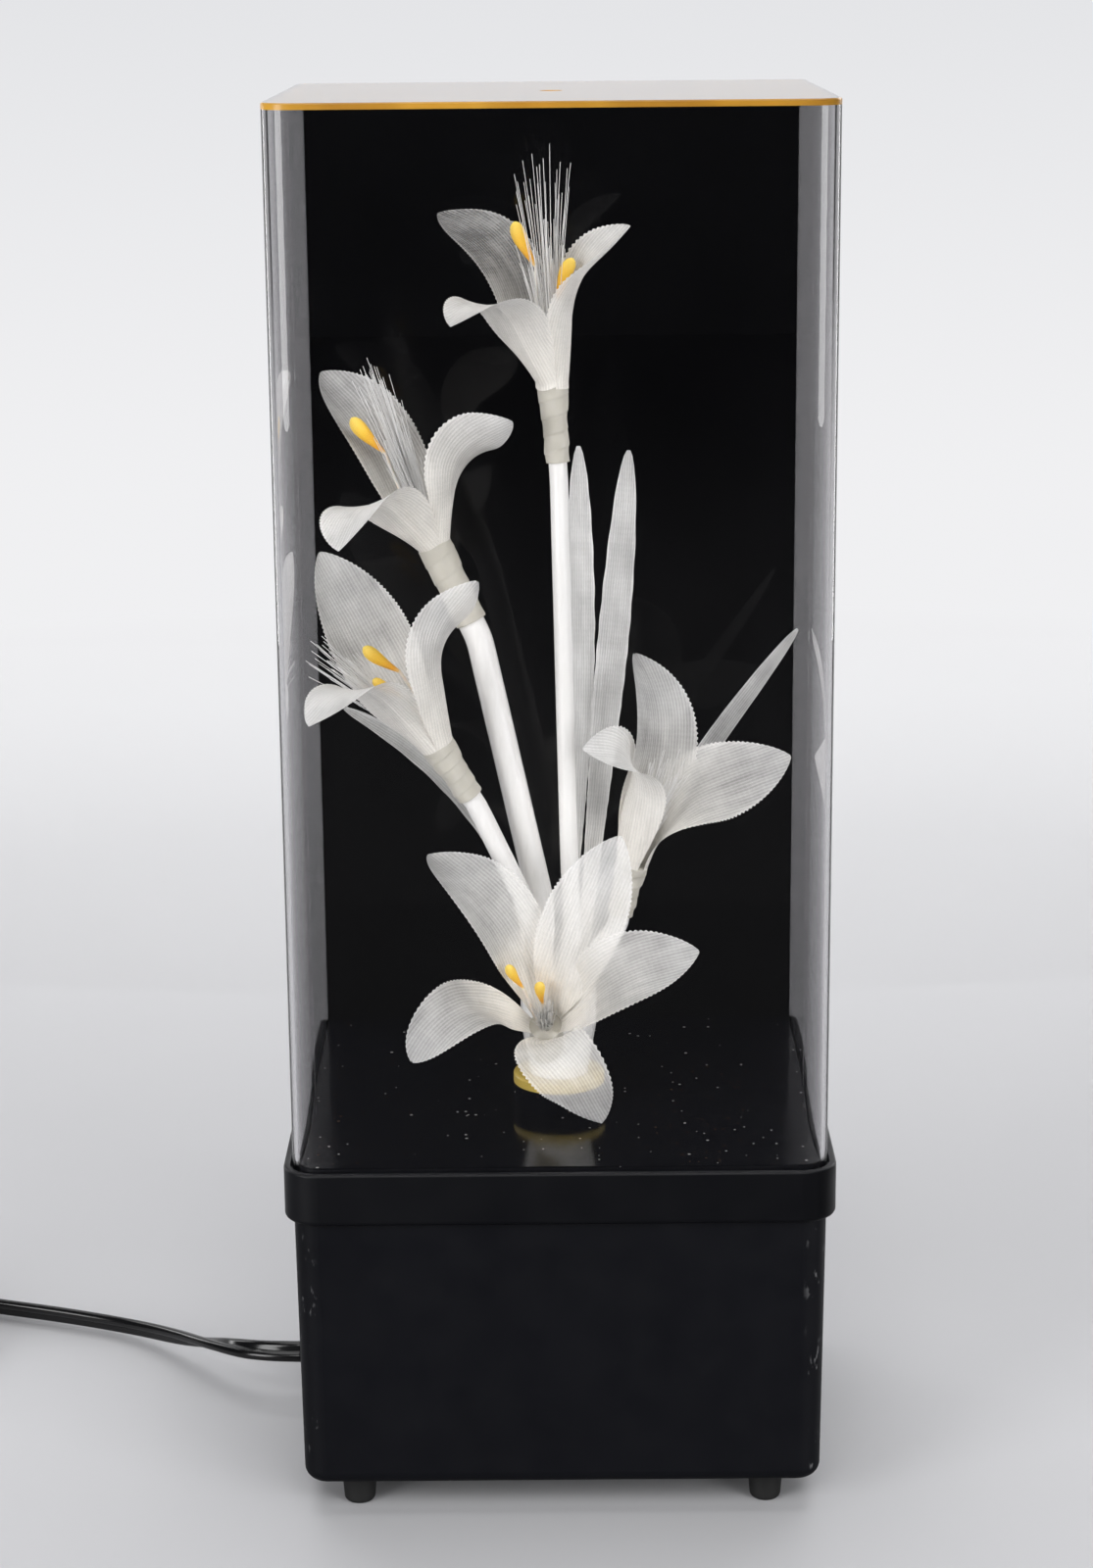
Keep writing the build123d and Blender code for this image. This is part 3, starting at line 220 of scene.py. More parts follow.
def base_material():
    """Satin black with small pale rubs along the upright corners."""
    s = Shader("base_plastic", BLACK, 0.45, Specular_IOR_Level=0.22)
    s.roughness(s.drift(s.noise(MOULD_GLOSS, 6), 0.42, 0.54))
    s.bump(s.noise(MOULD_GRAIN, 2), 0.25, MOULD_DEPTH)
    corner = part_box("base_tub")[1]
    place = s.split()
    near_x, near_y = (s.span(s.math("ABSOLUTE", place[way]), half - SCUFF_FROM, half - SCUFF_FULL, 0, 1)
                      for way, half in (("X", corner.x), ("Y", corner.y)))
    rubs = s.span(s.noise(520, 3, s.stretched(1, 1, 0.4)), 0.62, 0.72, 0, 0.42)
    patch = s.span(s.noise(60, 2), 0.46, 0.6, 0, 1)
    mask = s.math("MULTIPLY", s.math("MULTIPLY", near_x, near_y), s.math("MULTIPLY", rubs, patch))
    s.color(s.mix(mask, black_plastic(s), SCUFF_COLOR))
    return s.material


def specks(s, scale, size, share):
    """Round specks: a share of the points of a cell pattern, each of its own size."""
    cells = s.add("ShaderNodeTexVoronoi")
    cells.inputs["Scale"].default_value = scale
    s.link(s.place(), cells.inputs["Vector"])
    pick = s.add("ShaderNodeSeparateColor")
    s.link(cells.outputs["Color"], pick.inputs[0])
    chosen = s.math("LESS_THAN", pick.outputs[0], share)
    reach = s.math("MULTIPLY", pick.outputs[1], size)
    return s.math("MULTIPLY", chosen, s.math("LESS_THAN", cells.outputs["Distance"], reach))


def deck_material():
    """Satin collar round a glossy deck with settled dust and a few crumbs."""
    s = Shader("deck_plastic", BLACK, 0.4, Specular_IOR_Level=0.3)
    deck = s.span(s.split()["Z"], DECK_FROM, DECK_FULL, 0, 1)
    patches = s.span(s.noise(26, 3), 0.42, 0.62, 0.15, 1)
    fine = s.math("MULTIPLY", s.span(s.noise(1100, 2), 0.68, 0.76, 0, 0.25), patches)
    haze = s.span(s.noise(60, 6), 0.4, 0.8, 0.0, 0.005)
    settled = s.math("MULTIPLY", deck, s.math("ADD", fine, haze))
    dusty = s.mix(settled, black_plastic(s), DUST)
    pale = s.math("MULTIPLY", deck, specks(s, 420, 0.17, 0.4))
    brown = s.math("MULTIPLY", deck, s.math("MULTIPLY", specks(s, 520, 0.22, 0.6), patches))
    s.color(s.mix(pale, s.mix(brown, dusty, CRUMB_BROWN), CRUMB_PALE))
    satin = s.drift(s.noise(MOULD_GLOSS, 6), 0.4, 0.52)
    gloss = s.drift(s.noise(MOULD_GLOSS, 6), 0.08, 0.16)
    collar = s.math("SUBTRACT", 1.0, deck)
    s.roughness(s.math("ADD", s.math("MULTIPLY", satin, collar), s.math("MULTIPLY", gloss, deck)))
    s.bump(s.noise(MOULD_GRAIN, 2), 0.2, 0.00003)
    return s.material


def clear_material(name, color, ior=ACRYLIC_IOR, rough=0.0, drift=0.03):
    """Clear sheet, glass or film, with a very faint uneven tint."""
    s = Shader(name, color, rough, Transmission_Weight=1.0, IOR=ior)
    paler = tuple(min(1.0, c + drift) for c in color)
    s.color(s.mix(s.noise(20), color, paler))
    return s.material


def amber_edge_material():
    """The plate's cut edge, where the light that runs in the amber sheet comes out."""
    s = Shader("amber_edge", (0.9, 0.5, 0.08), 0.3, Transmission_Weight=0.25, IOR=ACRYLIC_IOR)
    amber = s.mix(s.noise(90, 4), (0.68, 0.31, 0.02), (0.88, 0.5, 0.07))
    s.color(s.mix(s.span(s.noise(22, 3), 0.5, 0.68, 0, 0.75), amber, (0.34, 0.13, 0.012)))
    return s.material


def metal_material(name, color, rough):
    """Plain metal with a faint drift of colour and gloss."""
    s = Shader(name, color, rough, Metallic=1.0)
    s.color(s.mix(s.noise(120), tuple(c * 0.85 for c in color), color))
    s.roughness(s.drift(s.noise(300, 6), rough * 0.8, rough * 1.3))
    s.bump(s.noise(1500, 3), 0.15, 0.00003)
    return s.material


def back_material():
    """Glossy black sheet with faint wiping marks."""
    s = Shader("back_sheet", (0.002, 0.002, 0.0023), 0.05, Specular_IOR_Level=0.32)
    s.color(s.mix(s.noise(40), (0.0015, 0.0015, 0.0018), (0.003, 0.003, 0.0034)))
    s.roughness(s.span(s.noise(70, 6, s.stretched(6, 1, 1)), 0.3, 0.8, 0.03, 0.1))
    return s.material


def film_material():
    """Glossy white film wrapped along a stem, with streaks along it."""
    s = Shader("white_film", (0.98, 0.972, 0.95), 0.25, Coat_Weight=0.5, Coat_Roughness=0.12,
               Subsurface_Weight=0.15, Subsurface_Radius=(0.002, 0.002, 0.002))
    lines = s.noise(1.0, 4, s.stretched(500, 500, 14))
    s.color(s.mix(lines, (0.92, 0.905, 0.865), (0.98, 0.972, 0.95)))
    s.roughness(s.drift(lines, 0.18, 0.38))
    s.bump(lines, 0.5, 0.00025)
    return s.material


def wrap_material():
    """Cream paper tape."""
    s = Shader("cream_wrap", (0.78, 0.76, 0.69), 0.55, Subsurface_Weight=0.2,
               Subsurface_Radius=(0.002, 0.002, 0.0015))
    s.color(s.mix(s.noise(260, 4), (0.5, 0.475, 0.4), (0.68, 0.655, 0.585)))
    s.bump(s.noise(700, 4), 0.4, 0.0002)
    return s.material


def sheer_material(name, rib_pitch, thread_pitch):
    """Sheer ribbed fabric: see-through between its threads, denser at its base and its cut edge.

    Its UV coordinates are millimetres along and across the sheet."""
    s = Shader(name, (0.86, 0.86, 0.85), 0.5, Sheen_Weight=0.25, Sheen_Roughness=0.4)
    uv = s.split("UV")
    wander = s.math("MULTIPLY", s.noise(55, 2), 9.0)
    ribs = s.math("MULTIPLY", uv["Y"], 2 * math.pi / rib_pitch)
    ribs = s.math("SINE", s.math("ADD", ribs, wander))
    threads = s.math("SINE", s.math("MULTIPLY", uv["X"], 2 * math.pi / thread_pitch))
    weave = s.math("ADD", s.math("MULTIPLY", ribs, 0.85), s.math("MULTIPLY", threads, 0.15))
    tone = s.mix(s.noise(80, 3), (0.83, 0.825, 0.805), (0.92, 0.915, 0.895))
    s.color(s.mix(s.span(uv["X"], 5, 44, 0.95, 0), tone, (0.93, 0.895, 0.82)))
    streaks = s.drift(s.noise(1.0, 3, s.stretched(0.07, 0.6, 1, "UV")), -0.065, 0.05)
    clouds = s.drift(s.noise(95, 5), -0.13, 0.09)
    uneven = s.math("ADD", s.math("MULTIPLY", weave, 0.085), clouds)
    cover = s.math("ADD", s.attribute("dense"), s.math("ADD", uneven, streaks), clamp=True)
    s.link(cover, s.bsdf.inputs["Alpha"])
    s.bump(weave, 0.5, 0.00012)
    return s.material


def anther_material():
    """Pale filaments and foam pods, orange at the foot and yellow at the end."""
    s = Shader("anther_foam", (0.95, 0.62, 0.1), 0.6, Subsurface_Weight=0.15,
               Subsurface_Radius=(0.002, 0.001, 0.0004))
    stops = ((0.0, (0.88, 0.86, 0.8)), (0.38, (0.88, 0.74, 0.42)), (0.5, (0.9, 0.42, 0.03)),
             (0.75, (0.98, 0.6, 0.05)), (1.0, (1.0, 0.74, 0.14)))
    pod = s.ramp(s.attribute("ripe"), stops)
    s.color(s.mix(s.span(s.noise(240, 4), 0.35, 0.75, 0, 0.3), pod, (0.78, 0.36, 0.03)))
    s.bump(s.noise(1300, 4), 0.5, 0.0002)
    return s.material


def fibre_material():
    """Plastic fibre, milky where many strands lie together."""
    s = Shader("optic_fibre", (0.9, 0.91, 0.92), 0.15, Transmission_Weight=0.15, IOR=ACRYLIC_IOR)
    s.color(s.mix(s.noise(200), (0.86, 0.86, 0.85), (0.97, 0.965, 0.95)))
    return s.material


def dress(material, *names):
    for name in names:
        slots = nodes[name].data.materials
        slots.clear()
        slots.append(material)


# Meshes
SHARP_ANGLE = 35


def smooth_faces(data):
    for polygon in data.polygons:
        polygon.use_smooth = True


def placed(name, data):
    """A new piece that rides on the base."""
    obj = bpy.data.objects.new(name, data)
    scene.collection.objects.link(obj)
    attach(obj, "base")
    return obj


def new_mesh(name, verts, faces, material, slot):
    data = bpy.data.meshes.new(name)
    data.from_pydata([tuple(v) for v in verts], [], faces)
    data.update()
    smooth_faces(data)
    data.materials.append(material)
    return placed(name, data)


def point_values(obj, name, values):
    layer = obj.data.attributes.new(name, "FLOAT", "POINT")
    layer.data.foreach_set("value", np.array(values, np.float32))


def sheet_mesh(name, grid, uvs, dense, material, slot):
    """One cloth sheet from a grid of points, with its threads' coordinates and its density."""
    rows, columns = len(grid), len(grid[0])
    verts = [p for row in grid for p in row]
    faces = [(r * columns + c, r * columns + c + 1, (r + 1) * columns + c + 1, (r + 1) * columns + c)
             for r in range(rows - 1) for c in range(columns - 1)]
    obj = new_mesh(name, verts, faces, material, slot)
    layer = obj.data.uv_layers.new(name="threads")
    flat = [uv for row in uvs for uv in row]
    for loop in obj.data.loops:
        layer.data[loop.index].uv = flat[loop.vertex_index]
    point_values(obj, "dense", [d for row in dense for d in row])
    return obj


def tube_faces(rings, sides):
    """The sides of a tube through rings of points."""
    faces = []
    for r in range(rings - 1):
        for k in range(sides):
            n = (k + 1) % sides
            faces.append((r * sides + k, r * sides + n, (r + 1) * sides + n, (r + 1) * sides + k))
    return faces


def tube_foot(sides):
    return tuple(reversed(range(sides)))


def tube_end(rings, sides):
    return tuple(range((rings - 1) * sides, rings * sides))


def merged(pieces):
    verts, faces = [], []
    for v, f in pieces:
        shift = len(verts)
        verts += v
        faces += [tuple(i + shift for i in face) for face in f]
    return verts, faces


def smooth(t):
    t = min(max(t, 0.0), 1.0)
    return t * t * (3 - 2 * t)


# Flowers: the same places and shapes as the solids, in millimetres, degrees and shares of the case
# A neck is a place in the case, an axis its lean and heading, and a tape its top radius and its reach over
# the neck. The columns of the petals: azimuth, sway, lean at the base, place of the bend, lean at the tip,
# twist, length, width, cup, density. Of the stamens: azimuth of the foot, azimuth, lean, length, pod. Of the
# tufts: strands, azimuth, lean, length, spread
CASE = (127.0, 111.2, 250.6)
DECK = 92.7
FLOWERS = {
    "top": dict(
        neck=(-0.002, 0.053, 0.7222), axis=(4.5, 140), calyx=19.0, stem=2.3, tape=(3.85, 0.0),
        petals=((120, 20, 19, 0.62, 69, -21, 1.15, 1.05, 14, 0.3),
                (232, 0, 32, 0.61, 113, -4, 0.89, 1.04, 23, 0.84),
                (337, 12.6, 7.5, 0.58, 52.5, 31.5, 0.87, 1.035, 55, 0.82)),
        stamens=((180, 180, 5.5, 0.82, 12), (290, 12, 11.4, 0.63, 11)), tuft=(96, 20, 2, 1.16, 3.0)),
    "left": dict(
        neck=(-0.232, 0.035, 0.5611), axis=(25, 173), calyx=19.95, stem=3.4, tape=(4.35, 1.2),
        petals=((95, 23, 6, 0.61, 43, -3, 1.12, 0.97, 44, 0.5),
                (251, -14, 32, 0.54, 116, -10, 0.89, 1.06, 23, 0.86),
                (334, -9, 30, 0.53, 88, -59, 0.88, 0.84, 26, 0.74)),
        stamens=((185, 185, 3, 0.78, 12),), tuft=(160, 0, 5, 1.0, 2.2)),
    "low_left": dict(
        neck=(-0.226, -0.123, 0.374), axis=(31, 191), calyx=14.25, stem=2.6, tape=(4.3, 1.2),
        petals=((107, -14, 32, 0.47, 20, 23, 1.15, 1.1, 33, 0.58),
                (243, -8, 11, 0.58, 93, -21, 0.97, 0.92, 18, 0.85),
                (325, 15, 24, 0.58, 68, -52, 1.02, 0.87, 34, 0.74)),
        stamens=((20, 185, 9, 0.66, 11), (310, 195, 13, 0.52, 9)), tuft=(120, 160, 21, 0.84, 2.6)),
    "right": dict(
        neck=(0.146, -0.018, 0.237), axis=(12.8, 0), calyx=12.35, stem=2.6, tape=(4.2, 0.8),
        petals=((86, 40, 3, 0.7, 62, 0, 1.15, 1.1, 45, 0.58),
                (236, -18, 3, 0.61, 89, -47, 0.94, 0.88, 42, 0.86),
                (374, -4, 7, 0.37, 60, 53, 1.0, 1.05, 5, 0.55)),
        stamens=(), tuft=(100, 10, 8, 0.66, 2.4)),
    "front": dict(
        neck=(-0.026, -0.21, 0.0992), axis=(45.8, 266), calyx=19.0, stem=4.0, tape=(4.1, 0.0),
        petals=((108, 26, 32, 0.58, 105, 19, 1.13, 1.0, 43, 0.6),
                (53, 11, 12, 0.34, 75, 14, 1.06, 1.02, 6, 0.7),
                (-3, 18, 27, 0.56, 92, 8, 0.98, 1.02, 35, 0.62),
                (266, 44, 30, 0.55, 147, 39, 0.91, 0.92, 9, 0.56),
                (182, 39, 34, 0.71, 142, -22, 0.96, 0.82, 34, 0.6)),
        stamens=((140, 140, 20, 0.45, 8.5), (95, 95, 6, 0.31, 8.5)), tuft=(124, 90, 3, 0.2, 1.6)),
}
PETAL_LENGTH, PETAL_WIDTH, NECK_RADIUS = 50.0, 20.0, 4.0
WIDEST, SWELL_POWER, CLOSE_POWER = 0.55, 1.15, 0.8
HALF_BEND, SWAY_END, CUP_END, LEAST_CUP = 0.28, 0.6, 0.4, 0.06
PETAL_FILL, PETAL_LIFT, PETAL_FOOT = 0.92, 0.4, 1.4
PETAL_ROWS, PETAL_COLUMNS, PETAL_STEPS, ROW_POWER, TIP = 181, 21, 2, 1.35, 0.997
TOOTH, TOOTH_RATE, TOOTH_FROM, TOOTH_BAND = 0.026, 5.7, 0.3, 0.95
RUFFLE, RUFFLE_RATE, RUFFLE_FROM, RUFFLE_OVER = 0.35, 9, 0.3, 0.3
CREASE, CREASE_WIDTH, CREASE_FULL, CREASE_FADE, CREASE_OVER = 0.25, 0.07, 0.2, 0.6, 0.35
EDGE_DENSER, EDGE_BAND, EDGE_FULL = 0.22, 0.9, 0.3
FOOT_DENSE, FOOT_END, FOOT_OVER, DENSEST = 0.98, 0.08, 0.48, 0.99


def case_point(shares):
    return Vector((shares[0] * CASE[0], shares[1] * CASE[1], DECK + shares[2] * CASE[2]))


def flower_frame(flower):
    """A flower's neck, its axis and the two directions across the axis."""
    lean, heading = (math.radians(a) for a in flower["axis"])
    axis = Vector((math.sin(lean) * math.cos(heading), math.sin(lean) * math.sin(heading), math.cos(lean)))
    east = (Vector((1, 0, 0)) - axis * axis.x).normalized()
    return case_point(flower["neck"]), axis, east, axis.cross(east)


def ray(place, azimuth, lean):
    axis, east, north = place[1:]
    outward = east * math.cos(azimuth) + north * math.sin(azimuth)
    return axis * math.cos(lean) + outward * math.sin(lean)


def petal_width_at(u, base_width, width):
    if u < WIDEST:
        return base_width + (width - base_width) * math.sin(math.pi / 2 * u / WIDEST) ** SWELL_POWER
    return width * max(0.0, 1 - ((u - WIDEST) / (1 - WIDEST)) ** 2) ** CLOSE_POWER


def petal(name, place, count, shape, material):
    """A petal as a fine sheet: pointed tip, pinked edge, soft crease on its midrib, foot over the tape."""
    azimuth, sway, lean_base, bend_place, lean_tip, twist, length, width, cup, dense = shape
    neck, axis = place[:2]
    fill = math.pi / count * PETAL_FILL
    base_width = 2 * fill * NECK_RADIUS
    length *= PETAL_LENGTH
    width *= PETAL_WIDTH

    def pose(t):
        bend = smooth((t - bend_place + HALF_BEND) / (2 * HALF_BEND))
        lean = math.radians(lean_base + (lean_tip - lean_base) * bend)
        return bend, math.radians(azimuth + sway * smooth(t / SWAY_END)), lean

    middle = neck + axis * PETAL_LIFT + ray(place, math.radians(azimuth), math.pi / 2) * NECK_RADIUS
    grid, uvs, density = [], [], []
    area, last_width, previous = PETAL_FOOT * base_width, base_width, 0.0
    for r in range(PETAL_ROWS):
        u = TIP * (1 - (1 - r / (PETAL_ROWS - 1)) ** ROW_POWER)
        for k in range(PETAL_STEPS):
            bend, heading, lean = pose(previous + (u - previous) * (k + 0.5) / PETAL_STEPS)
            middle = middle + ray(place, heading, lean) * (length * (u - previous) / PETAL_STEPS)
        bend, heading, lean = pose(u)
        along = ray(place, heading, lean)
        inward = ray(place, heading, lean - math.pi / 2)
        across = inward.cross(along)
        turn = math.radians(twist) * bend
        across, inward = (across * math.cos(turn) + inward * math.sin(turn),
                          inward * math.cos(turn) - across * math.sin(turn))
        half_angle = max(fill + (math.radians(cup) - fill) * smooth(u / CUP_END), LEAST_CUP)
        w = petal_width_at(u, base_width, width)
        area += (w + last_width) / 2 * length * (u - previous)
        last_width, previous = w, u
        bow = w / 2 / half_angle
        midrib = CREASE * smooth(u / CREASE_FULL) * (1 - smooth((u - CREASE_FADE) / CREASE_OVER))
        wave = RUFFLE * math.sin(u * RUFFLE_RATE + azimuth) * smooth((u - RUFFLE_FROM) / RUFFLE_OVER)
        foot = (FOOT_DENSE - dense) * (1 - smooth((u - FOOT_END) / FOOT_OVER))
        row, uv_row, dense_row = [], [], []
        for c in range(PETAL_COLUMNS):
            v = 2 * c / (PETAL_COLUMNS - 1) - 1
            pinked = abs(v) > TOOTH_BAND and u > TOOTH_FROM
            a = half_angle * v * (1 + TOOTH * math.sin(u * length * TOOTH_RATE) * pinked)
            lift = bow * (1 - math.cos(a)) + wave * abs(v) ** 3 - midrib * math.exp(-(v / CREASE_WIDTH) ** 2)
            row.append((middle + across * (bow * math.sin(a)) + inward * lift) * MM)
            uv_row.append((u * length, v * w / 2 + azimuth))
            edge = EDGE_DENSER * smooth((abs(v) - EDGE_BAND) / (1 - EDGE_BAND)) * smooth(u / EDGE_FULL)
            dense_row.append(min(dense + edge + foot, DENSEST))
        if r == 0:
            grid.append([p - axis * (PETAL_FOOT * MM) for p in row])
            uvs.append([(-PETAL_FOOT, y) for x, y in uv_row])
            density.append(dense_row)
        grid.append(row)
        uvs.append(uv_row)
        density.append(dense_row)
    obj = sheet_mesh(name, grid, uvs, density, material, "petal_fabric")
    return obj


# Leaves: a foot on the bundle's rim, two pulls and a tip in shares of the case, heading, tilt, width, density
LEAVES = {
    "back_left": ((0.15, 0.86), (0.05, 0.02, 0.35), (0.05, 0.2, 0.48), (0.049, 0.27, 0.649),
                  280, 10, 1.0, 0.76),
    "back_right": ((0.62, 0.74), (0.085, 0.02, 0.34), (0.13, 0.18, 0.5), (0.15, 0.27, 0.644),
                   265, 10, 1.0, 0.76),
    "right": ((0.92, 0.3), (0.15, 0.13, 0.25), (0.335, 0.22, 0.353), (0.485, 0.126, 0.47),
              250, 30, 0.7, 0.5),
    "left": ((-0.93, -0.1), (-0.025, -0.09, 0.25), (-0.21, -0.04, 0.356), (-0.42, 0.0, 0.404),
             250, 35, 0.65, 0.66),
}
LEAF_WIDTH, LEAF_BASE, LEAF_WIDEST, LEAF_CUP = 8.0, 0.38, 0.6, 20
LEAF_RIM, LEAF_MIDDLE, LEAF_HEIGHT = 9.6, -8.5, 122.5
LEAF_ROWS, LEAF_COLUMNS = 71, 11
LEAF_TOOTH, LEAF_TOOTH_RATE = 0.025, 4.2
LEAF_EDGE_DENSER, LEAF_EDGE_BAND, LEAF_FOOT_DENSER, LEAF_FOOT_END = 0.2, 0.8, 0.3, 0.3


def leaf(name, shape, material):
    """A strap leaf of the same fabric, with a pinked edge."""
    foot, pull_low, pull_high, tip, heading, tilt, size, dense = shape
    p0 = Vector((foot[0] * LEAF_RIM, LEAF_MIDDLE + foot[1] * LEAF_RIM, LEAF_HEIGHT))
    p1, p2, p3 = case_point(pull_low), case_point(pull_high), case_point(tip)
    heading, tilt, cup = math.radians(heading), math.radians(tilt), math.radians(LEAF_CUP)
    facing = Vector((math.cos(heading) * math.cos(tilt), math.sin(heading) * math.cos(tilt), math.sin(tilt)))
    grid, uvs, density = [], [], []
    far, last = 0.0, p0
    for r in range(LEAF_ROWS):
        u = TIP * r / (LEAF_ROWS - 1)
        v = 1 - u
        middle = p0 * v ** 3 + p1 * (3 * v * v * u) + p2 * (3 * v * u * u) + p3 * u ** 3
        along = ((p1 - p0) * (v * v) + (p2 - p1) * (2 * v * u) + (p3 - p2) * (u * u)).normalized()
        across = along.cross(facing).normalized()
        inward = across.cross(along)
        if u < LEAF_WIDEST:
            swell = LEAF_BASE + (1 - LEAF_BASE) * smooth(u / LEAF_WIDEST)
        else:
            swell = math.sqrt(1 - ((u - LEAF_WIDEST) / (1 - LEAF_WIDEST)) ** 2)
        w = LEAF_WIDTH * size * swell
        far += (middle - last).length
        last = middle
        bow = w / 2 / cup
        rooted = LEAF_FOOT_DENSER * (1 - smooth(u / LEAF_FOOT_END))
        row, uv_row, dense_row = [], [], []
        for c in range(LEAF_COLUMNS):
            s = 2 * c / (LEAF_COLUMNS - 1) - 1
            a = cup * s * (1 + LEAF_TOOTH * math.sin(far * LEAF_TOOTH_RATE) * (abs(s) > TOOTH_BAND))
            row.append((middle + across * (bow * math.sin(a)) + inward * (bow * (1 - math.cos(a)))) * MM)
            uv_row.append((far, s * w / 2))
            edge = LEAF_EDGE_DENSER * smooth((abs(s) - LEAF_EDGE_BAND) / (1 - LEAF_EDGE_BAND))
            dense_row.append(min(dense + edge + rooted, DENSEST))
        grid.append(row)
        uvs.append(uv_row)
        density.append(dense_row)
    return sheet_mesh(name, grid, uvs, density, material, "leaf_film")


# Tufts
STRAND_RADIUS, STRAND_TAPER, STRAND_RUNS = 0.1, 0.25, 6
TUFT_RADIUS, TUFT_LIFT, TUFT_CLUMPS, CLUMP_REACH, CLUMP_SHARE = 1.7, 0.2, 9, 1.3, 2.4
LONGEST_STRAND, SHORT_REACH, REACH_SPAN, REACH_POWER = 5, 0.45, 0.52, 1.9
SPLAY_LOW, SPLAY_HIGH, SPLAY_POWER, STRAND_BOW = 0.5, 1.8, 1.5, 0.35
GOLDEN_ANGLE = math.pi * (3 - math.sqrt(5))


def tuft(name, place, shape, material):
    """The ends of the fibres: fine strands that fan out from the middle of a flower."""
    total, azimuth, lean, length, spread = shape
    neck, axis, east, north = place
    heading = ray(place, math.radians(azimuth), math.radians(lean))
    data = bpy.data.curves.new(name, "CURVE")
    data.dimensions = "3D"
    data.bevel_depth = STRAND_RADIUS * MM
    data.bevel_resolution = 1
    data.use_fill_caps = True
    clumps = [east * rng.uniform(-CLUMP_REACH, CLUMP_REACH) + north * rng.uniform(-CLUMP_REACH, CLUMP_REACH)
              for k in range(TUFT_CLUMPS)]
    for i in range(total):
        radius, angle = TUFT_RADIUS * math.sqrt((i + 0.5) / total), i * GOLDEN_ANGLE
        aside = east * (radius * math.cos(angle)) + north * (radius * math.sin(angle))
        share = 1.0 if i == LONGEST_STRAND else SHORT_REACH + REACH_SPAN * rng.random() ** REACH_POWER
        reach = PETAL_LENGTH * length * share
        start = neck + aside + axis * TUFT_LIFT
        clump = clumps[int(angle / (2 * math.pi) % 1 * len(clumps))]
        splay = aside * ((spread - 1) * rng.uniform(SPLAY_LOW, SPLAY_HIGH)) + clump * (spread / CLUMP_SHARE)
        bow = (east * rng.uniform(-1, 1) + north * rng.uniform(-1, 1)) * STRAND_BOW
        spline = data.splines.new("POLY")
        spline.points.add(STRAND_RUNS)
        for k, point in enumerate(spline.points):
            t = k / STRAND_RUNS
            p = start + heading * (reach * t) + splay * t ** SPLAY_POWER + bow * math.sin(math.pi * t)
            point.co = (*(p * MM), 1)
            point.radius = 1.0 - STRAND_TAPER * t
    data.materials.append(material)
    return placed(name, data)


# Stamens
STAMEN_SIDES, STAMEN_KNEE, STAMEN_RING, STAMEN_LIFT = 16, 7.0, 2.9, 0.05
FILAMENT_RADIUS, FILAMENT_SINK, FILAMENT_STOPS = 0.4, 0.45, (0, 0.3, 0.6, 0.9, 1)
POD_PROFILE = ((0.04, 0.5), (0.15, 0.75), (0.3, 1.1), (0.45, 1.5), (0.6, 1.85), (0.73, 2.0), (0.85, 1.85),
               (0.94, 1.3), (0.985, 0.6), (0.998, 0.15))
POD_LENGTH, POD_FLATNESS, POD_BOW, POD_RIPE = 12.4, 0.8, 0.4, 0.4
POD_SIDEWAYS = (0.3, 0.9, 0.2)


def stamen(place, shape):
    """A thin filament, a knee and a long pod that leans further out, and how ripe each of its points is."""
    foot_azimuth, azimuth, lean, length, pod = shape
    neck, axis = place[:2]
    azimuth, lean, knee = math.radians(azimuth), math.radians(lean), math.radians(STAMEN_KNEE)
    start = neck + ray(place, math.radians(foot_azimuth), math.pi / 2) * STAMEN_RING
    start = start + axis * (FILAMENT_SINK * math.sin(lean) + STAMEN_LIFT)
    filament = PETAL_LENGTH * length - pod
    way = ray(place, azimuth, lean - knee)
    pod_way = ray(place, azimuth, lean + min(knee * filament / pod, 3 * knee))
    side = pod_way.cross(Vector(POD_SIDEWAYS)).normalized()
    other = pod_way.cross(side)
    rings, ripe = [], []
    for t in FILAMENT_STOPS:
        rings.append((start + way * (t * filament), FILAMENT_RADIUS, FILAMENT_RADIUS))
        ripe += [0.0] * STAMEN_SIDES
    for t, radius in POD_PROFILE:
        centre = start + way * filament + pod_way * (pod * t) + side * (POD_BOW * math.sin(math.pi * t))
        radius *= pod / POD_LENGTH
        rings.append((centre, radius, radius * POD_FLATNESS))
        ripe += [POD_RIPE + (1 - POD_RIPE) * t] * STAMEN_SIDES
    verts = []
    for centre, wide, thin in rings:
        for k in range(STAMEN_SIDES):
            t = 2 * math.pi * k / STAMEN_SIDES
            verts.append((centre + side * (wide * math.cos(t)) + other * (thin * math.sin(t))) * MM)
    faces = tube_faces(len(rings), STAMEN_SIDES)
    faces += [tube_foot(STAMEN_SIDES), tube_end(len(rings), STAMEN_SIDES)]
    return (verts, faces), ripe


# Wound tape
TAPE_SIDES, TAPE_ROWS, TAPE_TURNS, TAPE_POWER = 40, 76, 4.5, 1.4
TAPE_OVER_STEM, TAPE_UNDER_TOP, TAPE_TUCK = 0.55, 0.1, 0.1
TAPE_STEP, TAPE_SUNK = 0.2, 0.08
TAPE_LUMPS = ((0.14, 2, 9), (0.09, 3, -14))
TAPE_PLAIN_FROM, TAPE_PLAIN_OVER = 0.85, 0.15
TAPE_CAP_RISE, TAPE_CAP_INSET = 0.3, 0.2


